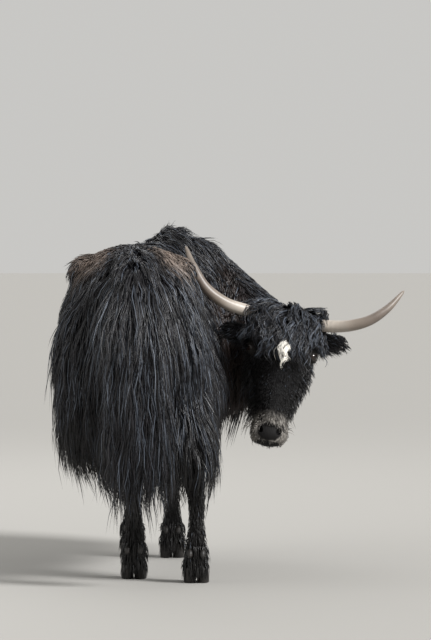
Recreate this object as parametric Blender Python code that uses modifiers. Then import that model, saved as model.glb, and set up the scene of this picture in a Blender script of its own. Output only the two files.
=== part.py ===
"""A life-size domestic yak cow that stands still, with the neck turned back to its right and the head low.

Metres, +Z up. +Y is where the body points, and +X is the animal's right side. The body is modelled round the
middle of the hind feet, and the last step moves all of it so that the origin is under the middle of its box.
"""

import math
import random

import bmesh
import bpy
import numpy as np
from mathutils import Matrix, Vector
from mathutils.bvhtree import BVHTree

# Left between pieces that touch, so that their meshes never cross.
GAP = 0.0003

# The driving sizes of the animal.
HUMP_TOP = 1.13
CROUP_TOP = 1.115
BELLY_BOTTOM = 0.455
BARREL_HALF_WIDTH = 0.252
HEAD_LENGTH = 0.44
HORN_BASE_RADIUS = 0.0218
EYE_RADIUS = 0.019
EYE_FACETS = (12, 8)
CORONET_HEIGHT = 0.052

# Where each foot stands, from the middle of the hind feet.
FEET = {
    "hind_left": Vector((-0.032, 0.07, 0.0)),
    "hind_right": Vector((0.178, -0.07, 0.0)),
    "fore_left": Vector((-0.05, 0.90, 0.0)),
    "fore_right": Vector((0.09, 0.86, 0.0)),
}

# The head hangs from the middle of the horn line, rolled to its right and with the nose a little forward.
HORN_LINE = Vector((0.488, 0.55, 0.8555))
HEAD_ROLL = math.radians(9.0)
HEAD_PITCH = math.radians(12.0)

# The cuts between the nodes, as a point and the way that the plane faces.
RUMP_CUT_Y = 0.24
SHOULDER_CUT_Y = 0.66
LEG_CUT_Z = 0.483
LEGS_APART_X = 0.035
# How much further the skirt's lower tiers stand off on the right side, which the body leans to.
RIGHT_FULLER = 0.018
NECK_BASE_POINT = Vector((0.20, 1.0, 0.8))
NECK_BASE_NORMAL = Vector((0.9, 0.436, 0.0)).normalized()
NECK_BEND_POINT = Vector((0.375, 0.975, 0.8))
NECK_BEND_NORMAL = Vector((0.75, -0.66, 0.0)).normalized()
NAPE_POINT = Vector((0.0, 0.165, -0.05))
NAPE_NORMAL = Vector((0.0, 0.949, 0.316)).normalized()

DOWN = Vector((0.0, 0.0, -1.0))
# A line that runs along no face of the model.
AWAY = Vector((0.917, 0.233, 0.324)).normalized()

# How fine the fused cores are left after they are thinned.
BODY_TRIANGLES = 2400
HEAD_TRIANGLES = 1560

BLACK_COAT = (0.012, 0.011, 0.012)
BROWN_BLACK_COAT = (0.024, 0.017, 0.014)
FACE_COAT = (0.018, 0.015, 0.015)
HORN_PALE = (0.36, 0.29, 0.22)
HOOF_BLACK = (0.02, 0.018, 0.017)
EYE_DARK = (0.012, 0.008, 0.006)


def head_matrix():
    """Places the head: local X is across the face, -Y is out of the forehead and +Z is towards the poll."""
    across = Vector((math.cos(HEAD_ROLL), 0.0, -math.sin(HEAD_ROLL)))
    upright = Vector((math.sin(HEAD_ROLL), 0.0, math.cos(HEAD_ROLL)))
    up = upright * math.cos(HEAD_PITCH) + Vector((0.0, math.sin(HEAD_PITCH), 0.0))
    back = across.cross(up) * -1.0
    matrix = Matrix((across, back, up)).transposed().to_4x4()
    matrix.translation = HORN_LINE
    return matrix


HEAD = head_matrix()


def smooth_rows(rows, count):
    """Rows of numbers run through a Catmull-Rom curve, at this many even steps from first to last."""
    rows = np.array(rows, float)
    padded = np.vstack([2 * rows[0] - rows[1], rows, 2 * rows[-1] - rows[-2]])
    found = []
    for t in np.linspace(0, len(rows) - 1, count):
        i = min(int(t), len(rows) - 2)
        f = t - i
        a, b, c, d = padded[i : i + 4]
        found.append(
            0.5 * (2 * b + (c - a) * f + (2 * a - 5 * b + 4 * c - d) * f**2 + (3 * b - a - 3 * c + d) * f**3)
        )
    return np.array(found)


def new_object(name, bm):
    """An object in the scene from a bmesh, with its faces turned outwards."""
    bm.normal_update()
    bmesh.ops.recalc_face_normals(bm, faces=bm.faces)
    mesh = bpy.data.meshes.new(name)
    bm.to_mesh(mesh)
    bm.free()
    obj = bpy.data.objects.new(name, mesh)
    bpy.context.scene.collection.objects.link(obj)
    return obj


def loft(name, rings):
    """A closed skin over rings of points, each ring with the same number of them."""
    bm = bmesh.new()
    rows = [[bm.verts.new(p) for p in ring] for ring in rings]
    for low, high in zip(rows, rows[1:]):
        for i in range(len(low)):
            j = (i + 1) % len(low)
            bm.faces.new((low[i], low[j], high[j], high[i]))
    bm.faces.new(rows[0])
    bm.faces.new(list(reversed(rows[-1])))
    return new_object(name, bm)


def rounded(angle, power):
    """A point of a superellipse of half width and half height 1."""
    c, s = math.cos(angle), math.sin(angle)
    return (
        math.copysign(abs(c) ** (2 / power), c),
        math.copysign(abs(s) ** (2 / power), s),
    )


def ellipsoid(name, centre, radii, matrix=None, segments=16, rings=10):
    """A closed UV sphere stretched to these radii."""
    bm = bmesh.new()
    bmesh.ops.create_uvsphere(bm, u_segments=segments, v_segments=rings, radius=1.0)
    placed = Matrix.Translation(centre) @ Matrix.Diagonal((*radii, 1.0))
    bm.transform((matrix or Matrix.Identity(4)) @ placed)
    return new_object(name, bm)


def limb(name, stations, count=26, sides=14, matrix=None):
    """A closed limb through stations of (x, y, z, half width across, half depth fore and aft)."""
    rows = smooth_rows(stations, count)
    rings = []
    for row in rows:
        centre = Vector(row[:3])
        ring = []
        for i in range(sides):
            angle = 2 * math.pi * i / sides
            point = centre + Vector((row[3] * math.cos(angle), row[4] * math.sin(angle), 0.0))
            ring.append(matrix @ point if matrix else point)
        rings.append(ring)
    return loft(name, rings)


def swept(name, stations, count, sides, upright=True):
    """A closed bent form through stations of (x, y, z, half thickness, half height), square to its path."""
    rows = smooth_rows(stations, count)
    centres = [Vector(row[:3]) for row in rows]
    rings = []
    for i, row in enumerate(rows):
        along = (centres[min(i + 1, count - 1)] - centres[max(i - 1, 0)]).normalized()
        side = along.cross(Vector((0, 0, 1))).normalized()
        high = Vector((0, 0, 1)) if upright else side.cross(along).normalized()
        rings.append(
            [
                centres[i] + side * row[3] * across + high * row[4] * up
                for across, up in (rounded(2 * math.pi * k / sides, 2.3) for k in range(sides))
            ]
        )
    return loft(name, rings)


def applied(obj):
    """Makes what the object's modifiers show its own mesh."""
    graph = bpy.context.evaluated_depsgraph_get()
    old = obj.data
    obj.data = bpy.data.meshes.new_from_object(obj.evaluated_get(graph))
    obj.modifiers.clear()
    bpy.data.meshes.remove(old)
    return obj


def removed(objects):
    for obj in objects:
        bpy.data.objects.remove(obj, do_unlink=True)


def joined(name, pieces):
    """One object that holds the pieces' meshes as they are."""
    bm = bmesh.new()
    for piece in pieces:
        bm.from_mesh(piece.data)
    removed(pieces)
    mesh = bpy.data.meshes.new(name)
    bm.to_mesh(mesh)
    bm.free()
    obj = bpy.data.objects.new(name, mesh)
    bpy.context.scene.collection.objects.link(obj)
    return obj


def without_flaps(bm):
    """Deletes pairs of triangles that lie back to back on the same corners and hold no volume."""
    bmesh.ops.triangulate(bm, faces=bm.faces, quad_method="FIXED", ngon_method="EAR_CLIP")
    found = {}
    for face in bm.faces:
        found.setdefault(frozenset(v.index for v in face.verts), []).append(face)
    flaps = [face for faces in found.values() if len(faces) > 1 for face in faces]
    bmesh.ops.delete(bm, geom=flaps, context="FACES")


def largest_surface(obj):
    """Keeps only the largest closed surface, which fills sealed hollows and drops scraps."""
    bm = bmesh.new()
    bm.from_mesh(obj.data)
    without_flaps(bm)
    left, islands = set(bm.faces), []
    while left:
        start = left.pop()
        island, edge = [start], [start]
        while edge:
            for side in edge.pop().edges:
                for face in side.link_faces:
                    if face in left:
                        left.remove(face)
                        island.append(face)
                        edge.append(face)
        islands.append(island)
    islands.sort(key=lambda faces: sum(f.calc_area() for f in faces))
    scrap = [f for island in islands[:-1] for f in island]
    bmesh.ops.delete(bm, geom=scrap, context="FACES")
    bm.to_mesh(obj.data)
    bm.free()
    return obj


def fused(name, pieces, voxel, smoothing, triangles):
    """Closed pieces melted into one soft form: a voxel remesh, smoothed and then thinned to this size."""
    obj = joined(name, pieces)
    remesh = obj.modifiers.new("remesh", "REMESH")
    remesh.mode = "VOXEL"
    remesh.voxel_size = voxel
    smooth = obj.modifiers.new("smooth", "SMOOTH")
    smooth.factor = 0.5
    smooth.iterations = smoothing
    largest_surface(applied(obj))
    count = sum(len(face.vertices) - 2 for face in obj.data.polygons)
    thin = obj.modifiers.new("thin", "DECIMATE")
    thin.ratio = min(1.0, triangles / count)
    thin.use_collapse_triangulate = True
    return applied(obj)


def combined(obj, others, operation):
    """A Boolean of the object with a collection of closed meshes, which are then removed."""
    group = bpy.data.collections.new("tools")
    bpy.context.scene.collection.children.link(group)
    for other in others:
        for home in list(other.users_collection):
            home.objects.unlink(other)
        group.objects.link(other)
    modifier = obj.modifiers.new("combine", "BOOLEAN")
    modifier.operation = operation
    modifier.operand_type = "COLLECTION"
    modifier.collection = group
    modifier.solver = "MANIFOLD"
    applied(obj)
    removed(others)
    bpy.data.collections.remove(group)
    return obj


def with_pieces(obj, pieces):
    """The object with the pieces fused on, as one closed surface."""
    return largest_surface(combined(obj, pieces, "UNION"))


def trimmed(obj, point, normal):
    """Cuts away what lies past a plane, on the side that the normal points to."""
    size = 4.0
    bm = bmesh.new()
    bmesh.ops.create_cube(bm, size=size)
    turn = Vector((0, 0, 1)).rotation_difference(normal).to_matrix().to_4x4()
    centre = Vector(point) + Vector(normal) * (size / 2 - GAP / 2)
    bm.transform(Matrix.Translation(centre) @ turn)
    return combined(obj, [new_object("cutter", bm)], "DIFFERENCE")


def copy_of(obj, name):
    twin = bpy.data.objects.new(name, obj.data.copy())
    bpy.context.scene.collection.objects.link(twin)
    return twin


def cleared(obj, *others, room=GAP):
    """Cuts the object back from its neighbours, swollen by the room."""
    cutters = []
    for other in others:
        cutter = copy_of(other, "swollen")
        swell = cutter.modifiers.new("swell", "DISPLACE")
        swell.strength = room
        swell.mid_level = 0.0
        cutters.append(applied(cutter))
    return largest_surface(combined(obj, cutters, "DIFFERENCE"))


def dressed(obj, colour, roughness):
    """Gives the object its own material and soft shading."""
    material = bpy.data.materials.new(obj.name)
    material.use_nodes = True
    shader = material.node_tree.nodes["Principled BSDF"]
    shader.inputs["Base Color"].default_value = (*colour, 1.0)
    shader.inputs["Roughness"].default_value = roughness
    shader.inputs["Metallic"].default_value = 0.0
    obj.data.materials.clear()
    obj.data.materials.append(material)
    obj.data.shade_smooth()
    obj.data.set_sharp_from_angle(angle=math.radians(40))
    return obj


# The trunk, in stations of: where along the body, where across, the height of its top and of its bottom,
# its half width and how square its back is.
TRUNK = [
    (-0.240, -0.022, 0.985, 0.74, 0.085, 2.0),
    (-0.17, -0.027, 1.055, 0.62, 0.165, 2.2),
    (-0.06, -0.037, CROUP_TOP - 0.008, 0.54, 0.218, 2.6),
    (0.10, -0.044, CROUP_TOP, 0.515, 0.243, 2.6),
    (0.27, -0.04, CROUP_TOP - 0.03, 0.495, 0.252, 2.4),
    (0.46, -0.03, CROUP_TOP - 0.045, BELLY_BOTTOM, BARREL_HALF_WIDTH, 2.1),
    (0.64, 0.0, CROUP_TOP - 0.02, 0.495, 0.236, 1.9),
    (0.80, 0.045, HUMP_TOP - 0.015, 0.51, 0.216, 1.8),
    (0.94, 0.085, HUMP_TOP - 0.02, 0.525, 0.186, 1.8),
    (1.05, 0.12, 1.05, 0.56, 0.152, 1.9),
    (1.13, 0.14, 0.94, 0.65, 0.095, 2.0),
]

# The neck bends round to the right: x, y, z, half thickness and half height at each station.
NECK = [
    (0.075, 0.86, 0.79, 0.150, 0.315),
    (0.14, 0.97, 0.80, 0.142, 0.315),
    (0.235, 1.035, 0.802, 0.125, 0.285),
    (0.345, 1.015, 0.775, 0.108, 0.212),
    (0.435, 0.925, 0.742, 0.097, 0.155),
    (0.472, 0.80, 0.742, 0.089, 0.135),
    (0.475, 0.67, 0.758, 0.080, 0.112),
]


def trunk_core():
    """The barrel from buttocks to chest, squarer over the croup and full at the belly."""
    sides, bottom_power, waist = 28, 2.3, 0.38
    rings = []
    for y, x, top, bottom, half, top_power in smooth_rows(TRUNK, 40):
        middle = bottom + waist * (top - bottom)
        ring = []
        for i in range(sides):
            angle = 2 * math.pi * i / sides
            across, high = rounded(angle, top_power if math.sin(angle) > 0 else bottom_power)
            reach = top - middle if high > 0 else middle - bottom
            ring.append(Vector((x + half * across, y, middle + reach * high)))
        rings.append(ring)
    return loft("trunk", rings)


def trunk_bones():
    """The swellings of the skeleton that show: hooks, pin bones, shoulder blades and the hump."""
    pieces = [
        ellipsoid("hump", (0.084, 0.85, 1.03), (0.070, 0.19, 0.122)),
        ellipsoid("tail_head", (-0.023, -0.14, 1.025), (0.065, 0.10, 0.06)),
        ellipsoid("brisket", (0.07, 1.03, 0.62), (0.085, 0.12, 0.10)),
    ]
    for side in (-1, 1):
        pieces.append(ellipsoid("hook", (-0.044 + side * 0.148, 0.11, 1.022), (0.07, 0.12, 0.060)))
        pieces.append(ellipsoid("pin", (-0.024 + side * 0.075, -0.165, 0.945), (0.055, 0.07, 0.06)))
        pieces.append(ellipsoid("blade", (0.06 + side * 0.118, 0.86, 0.82), (0.07, 0.14, 0.22)))
    return pieces


def hind_leg(side, foot):
    """A hind leg from hip to coronet, with the stifle forward and the hock back."""
    hip_x = -0.04 + side * 0.125
    stations = [
        (hip_x, -0.02, 0.90, 0.085, 0.150),
        (hip_x + side * 0.012, -0.01, 0.76, 0.105, 0.185),
        (hip_x + side * 0.010, foot.y * 0.5 + 0.02, 0.62, 0.092, 0.150),
        (foot.x * 0.5 + hip_x * 0.5, foot.y - 0.03, 0.50, 0.062, 0.092),
        (foot.x * 0.8 + hip_x * 0.2, foot.y - 0.075, 0.40, 0.043, 0.060),
        (foot.x, foot.y - 0.065, 0.29, 0.030, 0.040),
        (foot.x, foot.y - 0.050, 0.20, 0.028, 0.034),
        (foot.x, foot.y - 0.035, 0.125, 0.037, 0.043),
        (foot.x, foot.y - 0.012, 0.080, 0.034, 0.038),
        (foot.x, foot.y - 0.006, 0.040, 0.041, 0.044),
    ]
    return limb("hind", stations)


def foreleg(side, foot):
    """A foreleg from shoulder to coronet."""
    shoulder_x = 0.06 + side * 0.115
    stations = [
        (shoulder_x, 0.92, 0.84, 0.065, 0.110),
        (shoulder_x + side * 0.005, 0.88, 0.68, 0.072, 0.110),
        (shoulder_x * 0.7 + foot.x * 0.3, 0.86, 0.55, 0.060, 0.080),
        (shoulder_x * 0.3 + foot.x * 0.7, foot.y - 0.015, 0.44, 0.045, 0.055),
        (foot.x, foot.y - 0.010, 0.335, 0.038, 0.043),
        (foot.x, foot.y - 0.018, 0.25, 0.029, 0.035),
        (foot.x, foot.y - 0.022, 0.18, 0.029, 0.034),
        (foot.x, foot.y - 0.022, 0.115, 0.037, 0.042),
        (foot.x, foot.y - 0.010, 0.075, 0.034, 0.038),
        (foot.x, foot.y - 0.004, 0.040, 0.041, 0.044),
    ]
    return limb("fore", stations)


def whole_body():
    """Trunk, neck and legs melted into one form, which the planes then part."""
    pieces = [trunk_core(), swept("neck_core", NECK, 26, 20)] + trunk_bones()
    for name, foot in FEET.items():
        side = -1 if name.endswith("left") else 1
        pieces.append((hind_leg if name.startswith("hind") else foreleg)(side, foot))
    return fused("body", pieces, voxel=0.014, smoothing=8, triangles=BODY_TRIANGLES)


# The head's stations: height on the face, half width, and the depth of the face and of the jaw behind it.
SKULL = [
    (0.034, 0.060, 0.040, 0.105),
    (0.018, 0.088, 0.015, 0.140),
    (-0.025, 0.100, -0.010, 0.180),
    (-0.075, 0.105, -0.018, 0.205),
    (-0.12, 0.105, -0.016, 0.215),
    (-0.17, 0.095, -0.006, 0.212),
    (-0.22, 0.080, 0.004, 0.195),
    (-0.28, 0.064, 0.013, 0.168),
    (-0.335, 0.053, 0.019, 0.142),
    (-0.380, 0.058, 0.022, 0.126),
    (-0.417, 0.056, 0.030, 0.112),
    (-HEAD_LENGTH, 0.036, 0.044, 0.094),
]
EYE_PLACE = Vector((0.106, 0.034, -0.118))
NOSTRIL_PLACE = Vector((0.034, 0.020, -0.392))
MOUTH_DEPTH = 0.098


def skull_core():
    """The head from poll to muzzle, in its own frame: broad at the eyes, narrow at the nose."""
    sides, power, jaw_share = 24, 2.2, 0.74
    rings = []
    for z, half, front, back in smooth_rows(SKULL, 34):
        middle = front + 0.42 * (back - front)
        ring = []
        for i in range(sides):
            across, deep = rounded(2 * math.pi * i / sides, power)
            narrow = 1.0 - (1.0 - jaw_share) * max(0.0, deep) ** 1.5
            reach = back - middle if deep > 0 else middle - front
            ring.append(HEAD @ Vector((half * across * narrow, middle + reach * deep, z)))
        rings.append(ring)
    return loft("skull", rings)


def head_forms():
    """The brows, orbits, cheeks, nose pad and chin that swell from the skull."""
    pieces = [
        ellipsoid("nose_pad", (0, 0.062, -0.402), (0.064, 0.046, 0.044), HEAD),
        ellipsoid("chin", (0, 0.113, -0.398), (0.040, 0.026, 0.042), HEAD),
        ellipsoid("poll", (0, 0.065, 0.010), (0.085, 0.060, 0.034), HEAD),
        ellipsoid("nose_bridge", (0, 0.030, -0.27), (0.036, 0.026, 0.12), HEAD),
    ]
    for side in (-1, 1):
        pieces += [
            ellipsoid("orbit", (side * 0.094, 0.036, -0.108), (0.032, 0.036, 0.044), HEAD),
            ellipsoid("cheek", (side * 0.056, 0.125, -0.165), (0.046, 0.078, 0.095), HEAD),
            ellipsoid("jowl", (side * 0.044, 0.150, -0.245), (0.030, 0.045, 0.070), HEAD),
            ellipsoid("lip", (side * 0.038, 0.078, -0.385), (0.026, 0.030, 0.052), HEAD),
            ellipsoid("horn_boss", (side * 0.088, 0.052, 0.0), (0.034, 0.036, 0.034), HEAD),
        ]
    return pieces


def lids(side):
    """The upper and lower lid: a ring of skin round the eye, open along the slit."""
    bm = bmesh.new()
    rings, sides = 12, 5
    reach, thick = EYE_RADIUS * 0.98, 0.0052
    loops = []
    for i in range(rings):
        angle = 2 * math.pi * i / rings
        centre = Vector((0.0, math.cos(angle) * reach * 1.12, math.sin(angle) * reach * 0.78))
        out = centre.normalized()
        loop = []
        for k in range(sides):
            turn = 2 * math.pi * k / sides
            spoke = out * math.cos(turn) + Vector((1, 0, 0)) * math.sin(turn)
            loop.append(bm.verts.new(centre + spoke * thick))
        loops.append(loop)
    for low, high in zip(loops, loops[1:] + loops[:1]):
        for k in range(sides):
            j = (k + 1) % sides
            bm.faces.new((low[k], low[j], high[j], high[k]))
    look = Matrix.Rotation(math.radians(-32 * side), 4, "Z")
    look = look @ Matrix.Rotation(math.radians(8 * side), 4, "Y")
    place = Vector((side * EYE_PLACE.x, EYE_PLACE.y, EYE_PLACE.z))
    out = Matrix.Translation((look @ Vector((side, 0, 0))) * EYE_RADIUS * 0.45)
    bm.transform(HEAD @ Matrix.Translation(place) @ out @ look)
    return new_object("lids", bm)


def mouth_cutters():
    """The slit between the lips, which runs up both sides of the muzzle and across its end."""
    height, open_by = 0.115, 0.0035
    cutters = []
    for side in (-1, 1):
        bm = bmesh.new()
        bmesh.ops.create_cube(bm, size=1.0)
        place = Matrix.Translation((side * 0.064, MOUTH_DEPTH, -HEAD_LENGTH + height / 2))
        bm.transform(HEAD @ place @ Matrix.Diagonal((0.044, open_by, height, 1.0)))
        cutters.append(new_object("mouth_side", bm))
    bm = bmesh.new()
    bmesh.ops.create_cube(bm, size=1.0)
    place = Matrix.Translation((0.0, MOUTH_DEPTH, -HEAD_LENGTH - 0.002))
    bm.transform(HEAD @ place @ Matrix.Diagonal((0.088, open_by, 0.036, 1.0)))
    cutters.append(new_object("mouth_end", bm))
    return cutters


def nostril_cutters():
    """The comma of each nostril, turned outwards."""
    cutters = []
    for side in (-1, 1):
        place = Vector((side * NOSTRIL_PLACE.x, NOSTRIL_PLACE.y, NOSTRIL_PLACE.z))
        turn = Matrix.Translation(place) @ Matrix.Rotation(math.radians(side * 28), 4, "Y")
        for shift, size in ((0.0, (0.0085, 0.020, 0.013)), (side * 0.010, (0.0075, 0.014, 0.0065))):
            cutters.append(ellipsoid("nostril", (shift, 0, 0.006 if shift else 0), size, HEAD @ turn, 8, 6))
    return cutters


def head_core():
    """The bare head: fused, carved with eye sockets, nostrils and mouth, and lidded."""
    head = fused("head", [skull_core()] + head_forms(), voxel=0.0062, smoothing=3, triangles=HEAD_TRIANGLES)
    trimmed(head, HEAD @ NAPE_POINT, HEAD.to_3x3() @ NAPE_NORMAL)
    head = with_pieces(head, [lids(-1), lids(1)])
    carve = mouth_cutters() + nostril_cutters()
    for side in (-1, 1):
        centre = Vector((side * EYE_PLACE.x, EYE_PLACE.y, EYE_PLACE.z))
        ball = EYE_RADIUS + GAP
        carve.append(ellipsoid("socket", centre, (ball, ball, ball), HEAD, *EYE_FACETS))
    return largest_surface(combined(head, carve, "DIFFERENCE"))


def eye(name, side):
    centre = Vector((side * EYE_PLACE.x, EYE_PLACE.y, EYE_PLACE.z))
    return ellipsoid(name, centre, (EYE_RADIUS, EYE_RADIUS, EYE_RADIUS), HEAD, *EYE_FACETS)


# Each horn goes out, then up, and its tip comes in. The right one is bent a little higher than the left.
HORN_RIGHT = [
    (-0.075, 0.052, 0.004),
    (-0.147, 0.030, 0.009),
    (-0.219, 0.004, 0.018),
    (-0.291, -0.012, 0.056),
    (-0.344, -0.008, 0.122),
    (-0.384, 0.020, 0.196),
]
HORN_LEFT = [
    (0.075, 0.052, 0.000),
    (0.148, 0.030, -0.002),
    (0.217, 0.004, 0.007),
    (0.284, -0.012, 0.035),
    (0.340, -0.008, 0.088),
    (0.386, 0.012, 0.159),
]


def horn(name, path, head):
    """A horn that thins slowly to the bend and then to its tip, seated on the head."""
    steps = 12
    route = smooth_rows(path, steps)
    rings = []
    for i, point in enumerate(route):
        t = i / (steps - 1)
        along = Vector(route[min(i + 1, steps - 1)] - route[max(i - 1, 0)]).normalized()
        side = along.cross(Vector((0, 1, 0))).normalized()
        high = side.cross(along)
        radius = HORN_BASE_RADIUS * (1.0 - 0.16 * t - 0.64 * t**4)
        rings.append(
            [
                HEAD @ (Vector(point) + (side * math.cos(a) + high * math.sin(a)) * radius)
                for a in (2 * math.pi * k / 8 for k in range(8))
            ]
        )
    return cleared(loft(name, rings), head)


EAR_LENGTH = 0.135
EAR_ROOT = (0.088, 0.085, -0.070)
# The left ear is held a little higher than the right.
EAR_TIPS = {"left": (0.230, 0.095, -0.026), "right": (0.230, 0.095, -0.050)}


def ear(name, side, root, tip, head):
    """A leaf-shaped ear with a hollow cup that faces forward and down, seated on the head."""
    along = (tip - root).normalized()
    cup = (Vector((0, -1, -0.35)) - along * along.dot(Vector((0, -1, -0.35)))).normalized()
    across = along.cross(cup)
    matrix = Matrix((along, across, cup)).transposed().to_4x4()
    matrix.translation = root + along * EAR_LENGTH * 0.42
    outer = ellipsoid(name, (0, 0, 0), (EAR_LENGTH * 0.56, 0.031, 0.019), HEAD @ matrix, 12, 8)
    hollow = ellipsoid("cup", (0.012, 0, 0.013), (EAR_LENGTH * 0.44, 0.023, 0.017), HEAD @ matrix, 10, 6)
    cupped = largest_surface(combined(outer, [hollow], "DIFFERENCE"))
    return cleared(cupped, head)


def claw(name, foot, side):
    """One claw of a hoof: a flat sole, a steep toe and a round heel."""
    half, length, points = 0.0205, 0.047, 10
    levels = ((0.0, 1.0, 0.010), (0.022, 1.0, 0.006), (CORONET_HEIGHT - GAP / 2, 0.86, -0.006))
    rings = []
    for height, share, forward in levels:
        ring = []
        for i in range(points):
            angle = 2 * math.pi * i / points
            toe = max(0.0, math.sin(angle))
            x = half * share * math.cos(angle) * (1.0 - 0.30 * toe**2)
            y = length * share * math.sin(angle) * (1.12 if toe > 0 else 0.88) + forward
            ring.append(foot + Vector((side * (half + 0.0016) + x, y, height)))
        rings.append(ring)
    return loft(name, rings)


def dewclaw(name, foot, leg, side):
    """A small horn behind the fetlock."""
    bm = bmesh.new()
    bmesh.ops.create_cone(bm, cap_ends=True, segments=6, radius1=0.013, radius2=0.005, depth=0.034)
    lean = Matrix.Rotation(math.radians(145), 4, "X")
    fetlock = -0.074 if "hind" in name else -0.060
    bm.transform(Matrix.Translation(foot + Vector((side * 0.021, fetlock, 0.102))) @ lean)
    return cleared(new_object(name, bm), leg)


class Coat:
    """Sets tapered locks on a core. Each is rooted in the surface, bends with its lie and hangs clear."""

    SINK = 0.014
    SHARES = {3: (0.62, 1.0, 0.66), 4: (0.62, 1.0, 0.86, 0.56)}

    def __init__(self, core, seed, limits=(), obstacles=()):
        self.rng = random.Random(seed)
        self.core = core
        self.surface = self.tree(core)
        self.limits = limits
        self.obstacles = [self.tree(obj) for obj in obstacles]
        self.neighbours = obstacles
        self.locks = []

    @staticmethod
    def tree(obj):
        bm = bmesh.new()
        bm.from_mesh(obj.data)
        found = BVHTree.FromBMesh(bm)
        bm.free()
        return found

    def root(self, start, towards):
        """Where a line from outside meets the core, and which way the surface faces there."""
        place, normal, _, _ = self.surface.ray_cast(Vector(start), Vector(towards).normalized())
        if place is None:
            return None, None
        for point, facing in self.limits:
            if abs(normal.dot(facing)) > 0.98 and abs((place - point).dot(facing)) < 0.002:
                return None, None
        return place, normal

    @staticmethod
    def within(point, tree):
        """Whether the point is inside the closed surface, by how often a line from it crosses that."""
        crossings, start = 0, point.copy()
        while crossings < 60:
            hit = tree.ray_cast(start, AWAY)[0]
            if hit is None:
                break
            crossings += 1
            start = hit + AWAY * 1e-5
        return crossings % 2 == 1

    def pushed(self, point, tree, room):
        """The point, moved out until it is this far from the surface."""
        near, normal, _, distance = tree.find_nearest(point, 0.3)
        if near is None:
            return point
        if self.within(point, tree):
            return near + normal * room
        if distance < room:
            return near + (point - near).normalized() * room
        return point

    def clear_of_all(self, point, room, width):
        """The point, moved out of the core, off its neighbours and back from the cuts."""
        point = self.pushed(point, self.surface, room)
        for tree in self.obstacles:
            point = self.pushed(point, tree, width * 0.5)
        for place, facing in self.limits:
            past = (point - place).dot(facing) + width * 0.55
            if past > 0:
                point = point - facing * past
        return point

    def add(self, start, towards, lie, length, width, thick, lift=0.35, droop=0.45, room=(0.01, 0.01),
            tuck=0.0, wave=0.0, steps=4):
        """One lock from its root to its tip. Droop turns it down, and tuck draws its tip in under the body.

        Room is how far it stays off the surface near its root and at its tip.
        """
        place, normal = self.root(start, towards)
        if place is None:
            return
        length *= self.rng.uniform(0.88, 1.12)
        width *= self.rng.uniform(0.9, 1.12)
        lie = Vector(lie) + Vector([self.rng.uniform(-0.12, 0.12) for _ in range(3)])
        lie = (lie - normal * lie.dot(normal)).normalized()
        heading = (lie * math.cos(lift) + normal * math.sin(lift)).normalized()
        side = normal.cross(heading).normalized()
        level = Vector((normal.x, normal.y, 0.0))
        phase = self.rng.uniform(0, 2 * math.pi)
        points = [place - normal * self.SINK - heading * 0.004]
        point = place.copy()
        for i in range(1, steps + 1):
            heading = heading * (1 - droop) + DOWN * droop - level * tuck * i / steps
            heading.normalize()
            bend = side * wave * math.sin(phase + 2.2 * i)
            off = room[0] + (room[1] - room[0]) * (i - 1) / (steps - 1)
            point = self.clear_of_all(point + heading * length / steps + bend, off, width)
            points.append(point)
        self.locks.append(self.strip(points, side, width, thick))

    def strip(self, points, side, width, thick):
        """A flat, ridged lock through the points, widest a third of the way down and pointed at its tip."""
        bm = bmesh.new()
        rows = []
        for i, share in enumerate(self.SHARES[len(points) - 1]):
            along = (points[i + 1] - points[max(i - 1, 0)]).normalized()
            flat = (side - along * side.dot(along)).normalized()
            out = along.cross(flat) * -1.0
            rows.append(
                [
                    bm.verts.new(points[i] - flat * width * share / 2),
                    bm.verts.new(points[i] + flat * width * share / 2),
                    bm.verts.new(points[i] + out * thick * (0.55 + 0.45 * share)),
                ]
            )
        tip = bm.verts.new(points[-1])
        for low, high in zip(rows, rows[1:]):
            for k in range(3):
                j = (k + 1) % 3
                bm.faces.new((low[k], low[j], high[j], high[k]))
        bm.faces.new(rows[0])
        for k in range(3):
            bm.faces.new((rows[-1][k], rows[-1][(k + 1) % 3], tip))
        bmesh.ops.triangulate(bm, faces=bm.faces)
        return new_object("lock", bm)

    def worn(self):
        """The core with its locks fused on, each first cut back from any neighbour or cut it would cross."""
        for lock in self.locks:
            spots = self.tree(lock)
            crossed = [obj for obj, tree in zip(self.neighbours, self.obstacles) if spots.overlap(tree)]
            if crossed:
                cleared(lock, *crossed)
            for place, facing in self.limits:
                if max((v.co - place).dot(facing) for v in lock.data.vertices) > -GAP:
                    trimmed(lock, place, facing)
        return with_pieces(self.core, self.locks)


def flank_locks(coat, y_from, y_to, tiers):
    """Tiers of locks down both sides, each tier over the one below it, and its odd locks over its even ones.

    Each tier is the height of its roots, how many locks, their length, how far the tips stand off and how
    far they are drawn in under the body.
    """
    for side in (-1, 1):
        for r, (z, columns, length, stand, tuck) in enumerate(tiers):
            step = (y_to - y_from) / columns
            stand += RIGHT_FULLER if side > 0 and r < 2 else 0.0
            for c in range(columns):
                y = y_from + step * (c + 0.5 + (0.2 if r % 2 else -0.2))
                over = 0.014 * (c % 2)
                coat.add(
                    (side * 1.5, y, z + coat.rng.uniform(-0.02, 0.02)), (-side, 0, 0), (0, -0.2, -1),
                    length, step * 1.10, 0.011, room=(0.004 + over, stand + over), tuck=tuck,
                    steps=4 if r < 2 else 3,
                )


def belly_locks(coat, places, length, width):
    """Locks that hang from under the belly, inside the skirt."""
    for x, y in places:
        coat.add(
            (x, y, 0.1), -DOWN, (0.0, -0.6, -0.2), length, width, 0.012, lift=1.05, droop=0.6, steps=3,
        )


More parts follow.
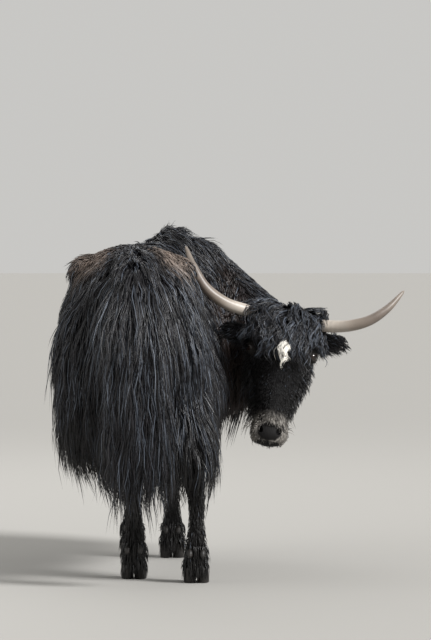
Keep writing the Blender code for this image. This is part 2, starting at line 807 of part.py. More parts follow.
def rear_coat(core, legs, limits):
    """The skirt of the hindquarters and the trousers behind the thighs."""
    coat = Coat(core, 41, limits, legs)
    flank_locks(
        coat, -0.15, RUMP_CUT_Y,
        ((0.59, 4, 0.28, 0.030, 0.60), (0.75, 4, 0.38, 0.075, 0.35), (0.94, 4, 0.25, 0.014, 0.05)),
    )
    belly_locks(coat, [(x, 0.12) for x in (-0.14, 0.06)], 0.18, 0.09)
    for r, (z, length, stand) in enumerate(((0.60, 0.33, 0.006), (0.78, 0.34, 0.024))):
        for c in range(5):
            x = -0.025 + 0.076 * (c - 2 + (0.25 if r else -0.25))
            over = 0.014 * (c % 2)
            coat.add(
                (x, -1.0, z), (0, 1, 0), (0.1 * (x + 0.025), 0, -1), length, 0.078, 0.011,
                lift=0.2, droop=0.7, room=(0.005 + over, stand + over),
            )
    return coat.worn()


def middle_coat(core, neighbours, limits):
    """The skirt of the barrel."""
    coat = Coat(core, 42, limits, neighbours)
    flank_locks(
        coat, RUMP_CUT_Y, SHOULDER_CUT_Y,
        ((0.58, 4, 0.28, 0.030, 0.60), (0.74, 4, 0.38, 0.075, 0.35), (0.92, 4, 0.25, 0.014, 0.05)),
    )
    belly_locks(coat, [(x, y) for x in (-0.14, 0.07) for y in (0.36, 0.54)], 0.15, 0.10)
    return coat.worn()


def front_coat(core, neighbours, limits):
    """The skirt of the shoulders, the mane on the hump and the fringe of the brisket."""
    coat = Coat(core, 43, limits, neighbours)
    flank_locks(
        coat, SHOULDER_CUT_Y, 1.04,
        ((0.61, 3, 0.25, 0.020, 0.50), (0.77, 4, 0.35, 0.050, 0.35), (0.95, 3, 0.24, 0.022, 0.05)),
    )
    belly_locks(coat, [(x, 0.74) for x in (-0.03, 0.12)] + [(0.05, 1.02)], 0.16, 0.09)
    for c in range(5):
        y = 0.70 + 0.07 * c
        for side in (-1, 1):
            x = 0.068 + 0.13 * (y - 0.7) + side * 0.024
            over = 0.014 * ((c + (side > 0)) % 2)
            coat.add(
                (x, y, 2.0), DOWN, (side * 0.8, -0.5, 0.1), 0.13, 0.070, 0.012,
                lift=0.75, droop=0.35, room=(0.010 + over, 0.024 + over), steps=3,
            )
    return coat.worn()


def neck_coat(core, seed, limits, neighbours, stations):
    """The crest along the neck, a tier on its outer side and the fringe under its throat.

    A station is a place on the neck's path and the way that the path runs there.
    """
    coat = Coat(core, seed, limits, neighbours)
    for n, (x, y, along_x, along_y) in enumerate(stations):
        outward = Vector((along_y, -along_x, 0.0)) * -1.0
        over = 0.012 * (n % 2)
        for side in (-1, 1):
            start = Vector((x, y, 2.0)) + outward * side * 0.025
            lie = outward * side + Vector((along_x, along_y, 0.0)) * 0.3
            coat.add(
                start, DOWN, lie, 0.12, 0.068, 0.012,
                lift=0.7, droop=0.4, room=(0.010 + over, 0.016 + over), steps=3,
            )
        coat.add(
            Vector((x, y, 0.80)) + outward, -outward, DOWN, 0.17, 0.075, 0.012,
            lift=0.3, droop=0.5, room=(0.008 + over, 0.02 + over), steps=3,
        )
        for side in (-1, 1):
            start = Vector((x, y, -1.0)) + outward * side * 0.035
            coat.add(start, -DOWN, (along_x, along_y, 0), 0.17, 0.07, 0.012, lift=1.0, droop=0.6, steps=3)
    return coat.worn()


def head_coat(core, neighbours, limits):
    """The curly forelock over the forehead, the tuft of the poll and the hair behind the jaw."""
    coat = Coat(core, 15, limits, neighbours)
    turn = HEAD.to_3x3()
    rows = ((-0.040, 4, 0.043, 0.080, 0.006), (0.0, 4, 0.043, 0.110, 0.018), (0.026, 4, 0.045, 0.125, 0.030))
    for z, count, step, length, stand in rows:
        for c in range(count):
            x = (c - (count - 1) / 2) * step
            over = 0.009 * (c % 2)
            coat.add(
                HEAD @ Vector((x, -0.5, z)), turn @ Vector((0, 1, 0)), turn @ Vector((x * 5, 0, -1)),
                length, 0.040, 0.009, lift=0.4, droop=0.25, room=(0.004 + over, stand + over), wave=0.005,
                steps=3,
            )
    for c in range(3):
        x = (c - 1) * 0.046
        coat.add(
            HEAD @ Vector((x, 0.06, 0.5)), turn @ Vector((0, 0, -1)), turn @ Vector((x * 8, -1, 0)),
            0.085, 0.040, 0.012, lift=0.7, droop=0.3, room=(0.008, 0.03), wave=0.004, steps=3,
        )
    for side in (-1, 1):
        for n, z in enumerate((-0.13, -0.20, -0.27)):
            coat.add(
                HEAD @ Vector((side * 0.5, 0.17, z)), turn @ Vector((-side, 0, 0)),
                turn @ Vector((0, 0.7, -1)), 0.095, 0.045, 0.010,
                lift=0.4, droop=0.4, room=(0.004, 0.004 + 0.01 * (2 - n)), steps=3,
            )
    return coat.worn()


def ear_coat(core, across, neighbours, seed):
    """The fringe along the lower edge of an ear."""
    coat = Coat(core, seed, (), neighbours)
    coat.SINK = 0.005
    turn = HEAD.to_3x3()
    for share in (0.5, 0.85):
        x = across * (0.115 + 0.11 * share)
        coat.add(
            HEAD @ Vector((x, 0.090, -0.5)), turn @ Vector((0, 0, 1)),
            turn @ Vector((across * 0.8, 0, -0.3)), 0.055, 0.032, 0.008,
            lift=0.9, droop=0.35, room=(0.003, 0.003), steps=3,
        )
    return coat.worn()


# The tail's dock and the dense hair round it: x, y, z, half width and half depth, from the tail head down.
DOCK = [
    (-0.023, -0.225, 1.045, 0.030, 0.028),
    (-0.024, -0.280, 1.020, 0.036, 0.030),
    (-0.022, -0.335, 0.93, 0.044, 0.030),
    (-0.014, -0.362, 0.80, 0.060, 0.030),
    (-0.006, -0.372, 0.68, 0.066, 0.026),
    (0.002, -0.372, 0.57, 0.040, 0.014),
]
# Tiers of its hair, the lowest first: height of the roots, how many to a side, length, how far the outermost
# tips go to the side and how far the tips stand off.
TAIL_TIERS = (
    (0.61, 3, 0.33, 0.42, 0.004),
    (0.68, 3, 0.40, 0.50, 0.014),
    (0.80, 3, 0.42, 0.46, 0.024),
    (0.93, 2, 0.40, 0.32, 0.034),
)


def tail(neighbours):
    """The bushy tail: a dock with tiers of long locks that fan out from it."""
    dock = limb("tail", DOCK, count=10, sides=10)
    cleared(dock, neighbours[0])
    coat = Coat(dock, 46, (), neighbours)
    coat.SINK = 0.008
    for r, (z, count, length, spread, stand) in enumerate(TAIL_TIERS):
        for c in range(-count, count + 1):
            share = (c + (0.35 if r % 2 else 0.0)) / count
            angle = math.radians(75) * share
            out = Vector((math.sin(angle), -math.cos(angle), 0.0))
            x = -0.023 + (1.0 - z) * 0.06
            start = Vector((x + 0.03 * share, -0.355, z)) + out * 0.3
            coat.add(
                start, -out, (share * spread, 0, -1), length, 0.066, 0.010,
                lift=0.10, droop=0.05, room=(0.003, stand + 0.012 * (c % 2)),
            )
    return coat.worn()


def kept(body, name, *cuts):
    """A copy of the body without what lies past each of these planes."""
    piece = copy_of(body, name)
    for point, normal in cuts:
        trimmed(piece, point, normal)
    return largest_surface(piece)


def facing_back(cut):
    """The same plane, facing the other way."""
    return cut[0], -cut[1]


# The planes that part the body, each a point and the way that it faces.
RUMP_CUT = (Vector((0, RUMP_CUT_Y, 0)), Vector((0, 1, 0)))
SHOULDER_CUT = (Vector((0, SHOULDER_CUT_Y, 0)), Vector((0, 1, 0)))
LEG_CUT = (Vector((0, 0, LEG_CUT_Z)), Vector((0, 0, 1)))
CORONET_CUT = (Vector((0, 0, CORONET_HEIGHT)), DOWN)
NECK_BASE_CUT = (NECK_BASE_POINT, NECK_BASE_NORMAL)
NECK_BEND_CUT = (NECK_BEND_POINT, NECK_BEND_NORMAL)
NAPE_CUT = (HEAD @ NAPE_POINT, HEAD.to_3x3() @ NAPE_NORMAL)


def body_nodes():
    """The body parted by thin cuts into the torso's three lengths, the neck's two and the four legs."""
    body = whole_body()
    past_rump, past_shoulder = facing_back(RUMP_CUT), facing_back(SHOULDER_CUT)
    past_base, past_bend, past_nape = (facing_back(cut) for cut in (NECK_BASE_CUT, NECK_BEND_CUT, NAPE_CUT))
    above_legs = facing_back(LEG_CUT)
    nodes = {
        "hindquarters": kept(body, "hindquarters", RUMP_CUT, above_legs),
        "barrel": kept(body, "barrel", past_rump, SHOULDER_CUT),
        "shoulders": kept(body, "shoulders", past_shoulder, NECK_BASE_CUT, above_legs),
        "neck_base": kept(body, "neck_base", past_base, NECK_BEND_CUT),
        "neck": kept(body, "neck", past_base, past_bend, past_nape),
    }
    for name, foot in FEET.items():
        split = Vector((LEGS_APART_X, 0, 0))
        outer = Vector((1 if name.endswith("left") else -1, 0, 0))
        near = RUMP_CUT if name.startswith("hind") else past_shoulder
        nodes["leg_" + name] = kept(body, "leg_" + name, LEG_CUT, CORONET_CUT, near, (split, outer))
    removed([body])
    return nodes


def coated(nodes):
    """Sets the long coat on the torso, the neck, the head and the ears."""
    hind = [nodes["leg_hind_left"], nodes["leg_hind_right"]]
    fore = [nodes["leg_fore_left"], nodes["leg_fore_right"]]
    beside = [nodes["ear_right"], nodes["horn_right"]]
    face = [nodes[part + side] for part in ("horn_", "ear_", "eye_") for side in ("left", "right")]
    rear_coat(nodes["hindquarters"], hind, [RUMP_CUT])
    middle_coat(nodes["barrel"], beside, [facing_back(RUMP_CUT), SHOULDER_CUT])
    front_coat(nodes["shoulders"], fore + beside, [facing_back(SHOULDER_CUT), NECK_BASE_CUT])
    neck_coat(
        nodes["neck_base"], 21, [facing_back(NECK_BASE_CUT), NECK_BEND_CUT], [nodes["shoulders"]],
        [(0.25, 1.035, 1.0, -0.05), (0.31, 1.025, 0.95, -0.3)],
    )
    neck_coat(
        nodes["neck"], 22, [facing_back(NECK_BEND_CUT), facing_back(NAPE_CUT)], [],
        [(0.43, 0.93, 0.55, -0.83), (0.465, 0.84, 0.2, -0.98), (0.475, 0.76, 0.0, -1.0)],
    )
    head_coat(nodes["head"], face, [NAPE_CUT])
    for name, across in (("ear_left", 1), ("ear_right", -1)):
        ear_coat(nodes[name], across, [nodes["head"]], 30 + across)


def head_parts(nodes):
    """The bare head with its eyes, horns and ears, each seated on it."""
    nodes["head"] = head_core()
    for across, word in ((1, "left"), (-1, "right")):
        nodes["eye_" + word] = eye("eye_" + word, across)
        path = HORN_LEFT if word == "left" else HORN_RIGHT
        nodes["horn_" + word] = horn("horn_" + word, path, nodes["head"])
        root, tip = (Vector((across * x, y, z)) for x, y, z in (EAR_ROOT, EAR_TIPS[word]))
        nodes["ear_" + word] = ear("ear_" + word, across, root, tip, nodes["head"])


def hooves(nodes):
    """Two claws and two dewclaws for each leg."""
    for name, foot in FEET.items():
        leg = nodes["leg_" + name]
        for side, word in ((-1, "left"), (1, "right")):
            nodes[f"hoof_{name}_{word}"] = claw(f"hoof_{name}_{word}", foot, side)
            nodes[f"dewclaw_{name}_{word}"] = dewclaw(f"dewclaw_{name}_{word}", foot, leg, side)


FINISHES = {
    "horn": (HORN_PALE, 0.45),
    "hoof": (HOOF_BLACK, 0.5),
    "dewclaw": (HOOF_BLACK, 0.5),
    "eye": (EYE_DARK, 0.08),
    "head": (FACE_COAT, 0.75),
    "leg": (BROWN_BLACK_COAT, 0.7),
}


def corners(objects):
    """The lowest and the highest corner of the box round these objects."""
    points = np.array([v.co for obj in objects for v in obj.data.vertices])
    return Vector(points.min(0)), Vector(points.max(0))


def main():
    for obj in list(bpy.data.objects):
        bpy.data.objects.remove(obj, do_unlink=True)
    nodes = body_nodes()
    head_parts(nodes)
    hooves(nodes)
    coated(nodes)
    nodes["tail"] = tail([nodes["hindquarters"], nodes["leg_hind_left"], nodes["leg_hind_right"]])

    yak = bpy.data.collections.new("yak")
    bpy.context.scene.collection.children.link(yak)
    low, high = corners(nodes.values())
    shift = Vector((-(low.x + high.x) / 2, -(low.y + high.y) / 2, -low.z))
    for name, obj in nodes.items():
        obj.name = name
        dressed(obj, *FINISHES.get(name.split("_")[0], (BLACK_COAT, 0.8)))
        obj.data.transform(Matrix.Translation(shift))
        for home in list(obj.users_collection):
            home.objects.unlink(obj)
        yak.objects.link(obj)


main()
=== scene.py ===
"""Looks of a life-size standing yak cow: one skin under a long coat of mesh tufts, with horns, eyes and hooves.

Metres and +Z up. The forms are laid out round the middle of the hind feet, as the CAD part's are, and each
finished piece is then moved into the part's own frame.
"""

import logging
import math
from collections.abc import Callable, Iterable, Sequence
from dataclasses import dataclass
from enum import Enum

import bpy
import numpy as np
from mathutils import Matrix, Vector
from mathutils.bvhtree import BVHTree
from mathutils.kdtree import KDTree


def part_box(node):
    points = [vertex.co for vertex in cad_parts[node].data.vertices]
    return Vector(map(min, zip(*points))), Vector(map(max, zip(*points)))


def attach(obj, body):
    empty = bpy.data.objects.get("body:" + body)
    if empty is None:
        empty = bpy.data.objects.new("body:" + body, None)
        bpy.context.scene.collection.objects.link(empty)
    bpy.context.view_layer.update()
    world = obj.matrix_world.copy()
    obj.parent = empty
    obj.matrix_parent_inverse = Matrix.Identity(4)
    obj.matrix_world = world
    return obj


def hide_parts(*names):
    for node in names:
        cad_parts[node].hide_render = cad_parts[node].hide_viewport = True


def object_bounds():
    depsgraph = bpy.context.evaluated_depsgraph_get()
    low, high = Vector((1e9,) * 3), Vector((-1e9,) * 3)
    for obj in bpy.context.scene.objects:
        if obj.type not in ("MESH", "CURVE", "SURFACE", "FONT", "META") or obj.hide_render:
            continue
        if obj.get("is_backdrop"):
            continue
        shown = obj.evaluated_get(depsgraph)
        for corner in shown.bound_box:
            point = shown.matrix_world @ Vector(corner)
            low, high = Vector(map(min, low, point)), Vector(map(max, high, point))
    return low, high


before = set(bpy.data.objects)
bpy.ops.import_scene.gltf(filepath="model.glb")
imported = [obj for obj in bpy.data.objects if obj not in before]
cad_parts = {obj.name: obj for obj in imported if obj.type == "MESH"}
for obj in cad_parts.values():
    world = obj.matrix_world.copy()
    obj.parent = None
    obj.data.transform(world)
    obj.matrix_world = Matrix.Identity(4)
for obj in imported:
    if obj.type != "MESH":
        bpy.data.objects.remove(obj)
CAD_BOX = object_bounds()

LOG = logging.getLogger("yak")
BODY = "root"
TAU = 2.0 * math.pi

# The driving sizes of the animal, which are the CAD part's own.
HUMP_TOP = 1.13
CROUP_TOP = 1.115
BELLY_BOTTOM = 0.455
BARREL_HALF_WIDTH = 0.252
HEAD_LENGTH = 0.44
HORN_BASE_RADIUS = 0.0218
EYE_RADIUS = 0.019
CORONET_HEIGHT = 0.052
EAR_LENGTH = 0.135
EAR_ROOT = (0.088, 0.085, -0.070)
# The left ear is held a little higher than the right.
EAR_TIPS = {"left": (0.230, 0.095, -0.026), "right": (0.230, 0.095, -0.050)}
HORN_LINE = Vector((0.488, 0.55, 0.8555))
HEAD_ROLL = math.radians(9.0)
HEAD_PITCH = math.radians(12.0)
EYE_PLACE = Vector((0.106, 0.034, -0.118))
# How far each eye's look is turned to the front, in degrees.
EYE_TURN = 42.0
NOSTRIL_PLACE = Vector((0.034, 0.020, -0.392))
MOUTH_DEPTH = 0.098
NAPE_POINT = Vector((0.0, 0.165, -0.05))
NAPE_NORMAL = Vector((0.0, 0.949, 0.316)).normalized()
NECK_BASE_POINT = Vector((0.20, 1.0, 0.8))
NECK_BASE_NORMAL = Vector((0.9, 0.436, 0.0)).normalized()
DOWN = np.array((0.0, 0.0, -1.0))

FEET = {
    "hind_left": Vector((-0.032, 0.07, 0.0)),
    "hind_right": Vector((0.178, -0.07, 0.0)),
    "fore_left": Vector((-0.05, 0.90, 0.0)),
    "fore_right": Vector((0.09, 0.86, 0.0)),
}

# Stations of the trunk: along, across, top, bottom, half width and how square the back is.
TRUNK = (
    (-0.240, -0.022, 0.985, 0.74, 0.085, 2.0),
    (-0.17, -0.027, 1.055, 0.62, 0.165, 2.2),
    (-0.06, -0.031, CROUP_TOP - 0.008, 0.54, 0.206, 2.6),
    (0.10, -0.034, CROUP_TOP, 0.515, 0.229, 2.6),
    (0.27, -0.04, CROUP_TOP - 0.03, 0.495, 0.252, 2.4),
    (0.46, -0.03, CROUP_TOP - 0.045, BELLY_BOTTOM, BARREL_HALF_WIDTH, 2.1),
    (0.64, 0.0, CROUP_TOP - 0.02, 0.495, 0.236, 1.9),
    (0.80, 0.045, HUMP_TOP - 0.015, 0.51, 0.216, 1.8),
    (0.94, 0.085, HUMP_TOP - 0.02, 0.525, 0.186, 1.8),
    (1.05, 0.12, 1.05, 0.56, 0.152, 1.9),
    (1.13, 0.14, 0.94, 0.65, 0.095, 2.0),
)

# Stations of the neck: x, y, z, half thickness and half height.
NECK = (
    (0.075, 0.86, 0.79, 0.150, 0.315),
    (0.14, 0.97, 0.80, 0.142, 0.315),
    (0.235, 1.035, 0.802, 0.125, 0.285),
    (0.345, 1.015, 0.775, 0.108, 0.212),
    (0.435, 0.925, 0.742, 0.097, 0.155),
    (0.472, 0.80, 0.742, 0.089, 0.135),
    (0.475, 0.67, 0.758, 0.080, 0.112),
)

# Stations of the head: height on the face, half width, front and back.
SKULL = (
    (0.034, 0.060, 0.040, 0.105),
    (0.018, 0.088, 0.015, 0.140),
    (-0.025, 0.100, -0.010, 0.180),
    (-0.075, 0.105, -0.018, 0.205),
    (-0.12, 0.105, -0.016, 0.215),
    (-0.17, 0.095, -0.006, 0.212),
    (-0.22, 0.080, 0.004, 0.195),
    (-0.28, 0.064, 0.013, 0.168),
    (-0.335, 0.053, 0.019, 0.142),
    (-0.380, 0.058, 0.022, 0.126),
    (-0.417, 0.056, 0.030, 0.112),
    (-HEAD_LENGTH, 0.036, 0.044, 0.094),
)

# Stations of the tail's dock: x, y, z, half width and half depth.
DOCK = (
    (-0.023, -0.225, 1.045, 0.030, 0.028),
    (-0.024, -0.280, 1.020, 0.036, 0.030),
    (-0.022, -0.335, 0.93, 0.044, 0.030),
    (-0.014, -0.362, 0.80, 0.060, 0.030),
    (-0.006, -0.372, 0.68, 0.066, 0.026),
    (0.002, -0.372, 0.57, 0.040, 0.014),
)

HORN_RIGHT = (
    (-0.075, 0.052, 0.004),
    (-0.147, 0.030, 0.009),
    (-0.219, 0.004, 0.018),
    (-0.291, -0.012, 0.056),
    (-0.344, -0.008, 0.122),
    (-0.384, 0.020, 0.196),
)
HORN_LEFT = (
    (0.075, 0.052, 0.000),
    (0.148, 0.030, -0.002),
    (0.217, 0.004, 0.007),
    (0.284, -0.012, 0.035),
    (0.340, -0.008, 0.088),
    (0.386, 0.012, 0.159),
)


class Side(Enum):
    """A side of the head, with the sign of the head's own X there."""

    LEFT = 1
    RIGHT = -1

    @property
    def word(self) -> str:
        """The side as part names spell it."""
        return self.name.lower()


class Slot(Enum):
    """The record's material slots."""

    COAT = "black_coat"
    TAIL = "tail_hair"
    LEG = "leg_hair"
    HORN = "horn"
    HOOF = "hoof"
    EYE = "eye"


def linear(hex_colour: str) -> np.ndarray:
    """Turns an sRGB hex colour into linear RGB.

    Args:
        hex_colour: Six hex digits, such as "1a1612".

    Returns:
        Three linear values.
    """
    values = np.array([int(hex_colour[i : i + 2], 16) / 255.0 for i in (0, 2, 4)])
    return np.where(values <= 0.04045, values / 12.92, ((values + 0.055) / 1.055) ** 2.4)


def head_matrix() -> Matrix:
    """Places the head: its X is across the face, its -Y leaves the forehead and its +Z points to the poll.

    Returns:
        The head's matrix.
    """
    across = Vector((math.cos(HEAD_ROLL), 0.0, -math.sin(HEAD_ROLL)))
    upright = Vector((math.sin(HEAD_ROLL), 0.0, math.cos(HEAD_ROLL)))
    up = upright * math.cos(HEAD_PITCH) + Vector((0.0, math.sin(HEAD_PITCH), 0.0))
    matrix = Matrix((across, across.cross(up) * -1.0, up)).transposed().to_4x4()
    matrix.translation = HORN_LINE
    return matrix


HEAD = head_matrix()
HEAD_TURN = np.array(HEAD.to_3x3())
HEAD_BACK = np.array(HEAD.inverted())
EYE_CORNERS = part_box("eye_left")
# From the middle of the hind feet to the part's own origin.
SHIFT = (EYE_CORNERS[0] + EYE_CORNERS[1]) / 2 - HEAD @ EYE_PLACE


def unit(vectors: np.ndarray) -> np.ndarray:
    """Scales each vector to length one.

    Args:
        vectors: An array whose last axis is the vector.

    Returns:
        The same array at length one.
    """
    return vectors / np.maximum(np.linalg.norm(vectors, axis=-1, keepdims=True), 1e-9)


def blend_step(low: float, high: float, values: np.ndarray) -> np.ndarray:
    """A soft step from 0 at low to 1 at high.

    Args:
        low: Where the step starts.
        high: Where it ends, which may be below low.
        values: What is stepped.

    Returns:
        Shares from 0 to 1.
    """
    share = np.clip((values - low) / (high - low), 0.0, 1.0)
    return share * share * (3.0 - 2.0 * share)


def in_head(points: np.ndarray) -> np.ndarray:
    """Turns points into the head's own frame.

    Args:
        points: An (n, 3) array.

    Returns:
        The (n, 3) array there.
    """
    return points @ HEAD_BACK[:3, :3].T + HEAD_BACK[:3, 3]


def deselect() -> None:
    """Leaves nothing selected and no object active."""
    bpy.ops.object.select_all(action="DESELECT")
    bpy.context.view_layer.objects.active = None


def take(obj: bpy.types.Object) -> bpy.types.Object:
    """Selects one object alone and makes it active.

    Args:
        obj: The object.

    Returns:
        The same object.
    """
    deselect()
    obj.select_set(True)
    bpy.context.view_layer.objects.active = obj
    return obj


def modified(obj: bpy.types.Object, kind: str, **settings: object) -> bpy.types.Object:
    """Adds a modifier and applies it.

    Args:
        obj: The object.
        kind: Blender's name of the modifier.
        settings: The modifier's settings.

    Returns:
        The same object.
    """
    take(obj)
    modifier = obj.modifiers.new(kind.lower(), kind)
    for name, value in settings.items():
        setattr(modifier, name, value)
    bpy.ops.object.modifier_apply(modifier=modifier.name)
    return obj


def joined(name: str, pieces: Sequence[bpy.types.Object]) -> bpy.types.Object:
    """Joins objects into one.

    Args:
        name: The name of the result.
        pieces: The objects.

    Returns:
        The joined object.
    """
    take(pieces[0])
    for piece in pieces[1:]:
        piece.select_set(True)
    if len(pieces) > 1:
        bpy.ops.object.join()
    pieces[0].name = pieces[0].data.name = name
    return pieces[0]


def fused(
    name: str, pieces: Sequence[bpy.types.Object], voxel: float, smoothing: int
) -> bpy.types.Object:
    """Melts closed pieces into one soft form.

    Args:
        name: The name of the result.
        pieces: The closed pieces.
        voxel: The grain of the new surface.
        smoothing: How many times it is smoothed.

    Returns:
        The fused object.
    """
    obj = joined(name, pieces)
    modified(obj, "REMESH", mode="VOXEL", voxel_size=voxel)
    return modified(obj, "SMOOTH", factor=0.5, iterations=smoothing)


def combined(
    obj: bpy.types.Object, others: Sequence[bpy.types.Object], operation: str
) -> bpy.types.Object:
    """A Boolean of the object with others, which are removed.

    Args:
        obj: The object that is changed.
        others: The closed tools.
        operation: UNION or DIFFERENCE.

    Returns:
        The changed object.
    """
    for other in others:
        modified(obj, "BOOLEAN", operation=operation, object=other, solver="MANIFOLD")
        bpy.data.objects.remove(other, do_unlink=True)
    return obj


def mesh_object(name: str, points: Sequence, faces: Sequence) -> bpy.types.Object:
    """Makes an object from points and faces, with its faces turned outwards.

    Args:
        name: Its name.
        points: The points.
        faces: The corners of each face.

    Returns:
        The new object.
    """
    mesh = bpy.data.meshes.new(name)
    mesh.from_pydata([tuple(p) for p in points], [], faces)
    obj = bpy.data.objects.new(name, mesh)
    bpy.context.scene.collection.objects.link(obj)
    take(obj)
    bpy.ops.object.mode_set(mode="EDIT")
    bpy.ops.mesh.select_all(action="SELECT")
    bpy.ops.mesh.normals_make_consistent(inside=False)
    bpy.ops.object.mode_set(mode="OBJECT")
    return obj


def loft(name: str, rings: Sequence[Sequence]) -> bpy.types.Object:
    """A closed skin over rings of equally many points.

    Args:
        name: Its name.
        rings: The rings, from one end to the other.

    Returns:
        The lofted object.
    """
    sides = len(rings[0])
    points = [p for ring in rings for p in ring]
    faces = [tuple(range(sides)), tuple(range(len(points) - sides, len(points)))]
    for r in range(len(rings) - 1):
        for i in range(sides):
            j = (i + 1) % sides
            faces.append((r * sides + i, r * sides + j, (r + 1) * sides + j, (r + 1) * sides + i))
    return mesh_object(name, points, faces)


def ball(
    name: str, centre: Sequence, radii: Sequence, place: Matrix | None = None, segments: int = 28, rings: int = 18
) -> bpy.types.Object:
    """A closed sphere stretched to three radii.

    Args:
        name: Its name.
        centre: Its middle, in the frame of place.
        radii: Its radii there.
        place: The frame, or None for the yak's own.
        segments: How many sides it has.
        rings: How many rings.

    Returns:
        The object, at the origin with its place in its mesh.
    """
    deselect()
    bpy.ops.mesh.primitive_uv_sphere_add(segments=segments, ring_count=rings, radius=1.0)
    obj = bpy.context.object
    obj.name = name
    shape = Matrix.Translation(centre) @ Matrix.Diagonal((*radii, 1.0))
    obj.data.transform((place or Matrix.Identity(4)) @ shape)
    return obj


def block(name: str, centre: Sequence, size: Sequence, place: Matrix) -> bpy.types.Object:
    """A box that cuts.

    Args:
        name: Its name.
        centre: Its middle, in the frame of place.
        size: Its sides.
        place: The frame.

    Returns:
        The object.
    """
    deselect()
    bpy.ops.mesh.primitive_cube_add(size=1.0)
    obj = bpy.context.object
    obj.name = name
    obj.data.transform(place @ Matrix.Translation(centre) @ Matrix.Diagonal((*size, 1.0)))
    return obj


def smooth_rows(rows: Sequence[Sequence[float]], count: int) -> np.ndarray:
    """Runs rows of numbers through a Catmull-Rom curve.

    Args:
        rows: The rows.
        count: How many even steps come out.

    Returns:
        A (count, n) array.
    """
    table = np.array(rows, float)
    padded = np.vstack([2 * table[0] - table[1], table, 2 * table[-1] - table[-2]])
    place = np.linspace(0, len(table) - 1, count)
    i = np.minimum(place.astype(int), len(table) - 2)
    f = (place - i)[:, None]
    a, b, c, d = (padded[i + k] for k in range(4))
    return 0.5 * (2 * b + (c - a) * f + (2 * a - 5 * b + 4 * c - d) * f**2 + (3 * b - a - 3 * c + d) * f**3)


def rounded(angle: float, power: float) -> tuple[float, float]:
    """A point of a superellipse of half sizes 1.

    Args:
        angle: Its angle.
        power: How square it is.

    Returns:
        The point across and up.
    """
    c, s = math.cos(angle), math.sin(angle)
    return math.copysign(abs(c) ** (2 / power), c), math.copysign(abs(s) ** (2 / power), s)


def add_node(tree: bpy.types.NodeTree, kind: str, links: dict | None = None, **settings: object) -> bpy.types.Node:
    """Adds a shader node.

    Args:
        tree: The material's node tree.
        kind: Blender's name of the node.
        links: Inputs by name or index, each an output socket or a value.
        settings: The node's own settings.

    Returns:
        The node.
    """
    node = tree.nodes.new(kind)
    for name, value in settings.items():
        setattr(node, name, value)
    for key, value in (links or {}).items():
        socket = node.inputs[key]
        if isinstance(value, bpy.types.NodeSocket):
            tree.links.new(value, socket)
        else:
            socket.default_value = value
    return node


def ramp(node: bpy.types.Node, stops: Iterable[tuple[float, Sequence[float]]]) -> None:
    """Sets the stops of a colour ramp.

    Args:
        node: The ramp's node.
        stops: Places and linear colours.
    """
    elements = node.color_ramp.elements
    stops = list(stops)
    while len(elements) < len(stops):
        elements.new(0.5)
    for element, (place, colour) in zip(elements, stops):
        element.position = place
        element.color = (*colour, 1.0)


@dataclass(frozen=True)
class Finish:
    """A procedural material on a Principled shader.

    Attributes:
        name: What the surface really is.
        roughness: The base roughness.
        ior: The index of refraction.
    """

    name: str
    roughness: float
    ior: float

    def start(self) -> tuple[bpy.types.Material, bpy.types.NodeTree, bpy.types.Node]:
        """Makes the material with its plain settings.

        Returns:
            The material, its tree and its shader.
        """
        material = bpy.data.materials.new(self.name)
        material.use_nodes = True
        tree = material.node_tree
        shader = tree.nodes["Principled BSDF"]
        shader.inputs["Roughness"].default_value = self.roughness
        shader.inputs["IOR"].default_value = self.ior
        shader.inputs["Metallic"].default_value = 0.0
        return material, tree, shader


@dataclass(frozen=True)
class HairFinish(Finish):
    """Long outer hair: keratin strands whose colour comes with each tuft, painted highlights and painted shade
    included.

    Attributes:
        streak_mm: Meant as how far apart the hairs of a tuft lie; not used.
    """

    streak_mm: float = 1.2

    def build(self) -> bpy.types.Material:
        """Builds the material.

        Returns:
            The material.
        """
        material, tree, shader = self.start()
        tint = add_node(tree, "ShaderNodeAttribute", attribute_name="tint")
        tree.links.new(tint.outputs["Color"], shader.inputs["Base Color"])
        shader.inputs["Specular IOR Level"].default_value = 0.5
        return material


@dataclass(frozen=True)
class HideFinish(Finish):
    """Skin under the coat, with short flat hair that shows as fine streaks.

    Attributes:
        hair_mm: The length of the short hair.
    """

    hair_mm: float = 6.0

    def build(self) -> bpy.types.Material:
        """Builds the material.

        Returns:
            The material.
        """
        material, tree, shader = self.start()
        tint = add_node(tree, "ShaderNodeAttribute", attribute_name="tint")
        place = add_node(tree, "ShaderNodeTexCoord")
        stretch = add_node(
            tree, "ShaderNodeMapping", {"Vector": place.outputs["Object"], "Scale": (1.0, 1.0, 0.22)}
        )
        streaks = add_node(
            tree,
            "ShaderNodeTexNoise",
            {"Vector": stretch.outputs["Vector"], "Scale": 1000.0 / self.hair_mm, "Detail": 4.0, "Roughness": 0.6},
        )
        shade = add_node(
            tree,
            "ShaderNodeMapRange",
            {"Value": streaks.outputs["Fac"], "From Min": 0.3, "From Max": 0.7, "To Min": 0.6, "To Max": 1.35},
        )
        mixed = add_node(
            tree,
            "ShaderNodeVectorMath",
            {0: tint.outputs["Color"], 1: shade.outputs["Result"]},
            operation="MULTIPLY",
        )
        bump = add_node(
            tree, "ShaderNodeBump", {"Height": streaks.outputs["Fac"], "Strength": 0.55, "Distance": 0.002}
        )
        tree.links.new(mixed.outputs["Vector"], shader.inputs["Base Color"])
        tree.links.new(bump.outputs["Normal"], shader.inputs["Normal"])
        return material


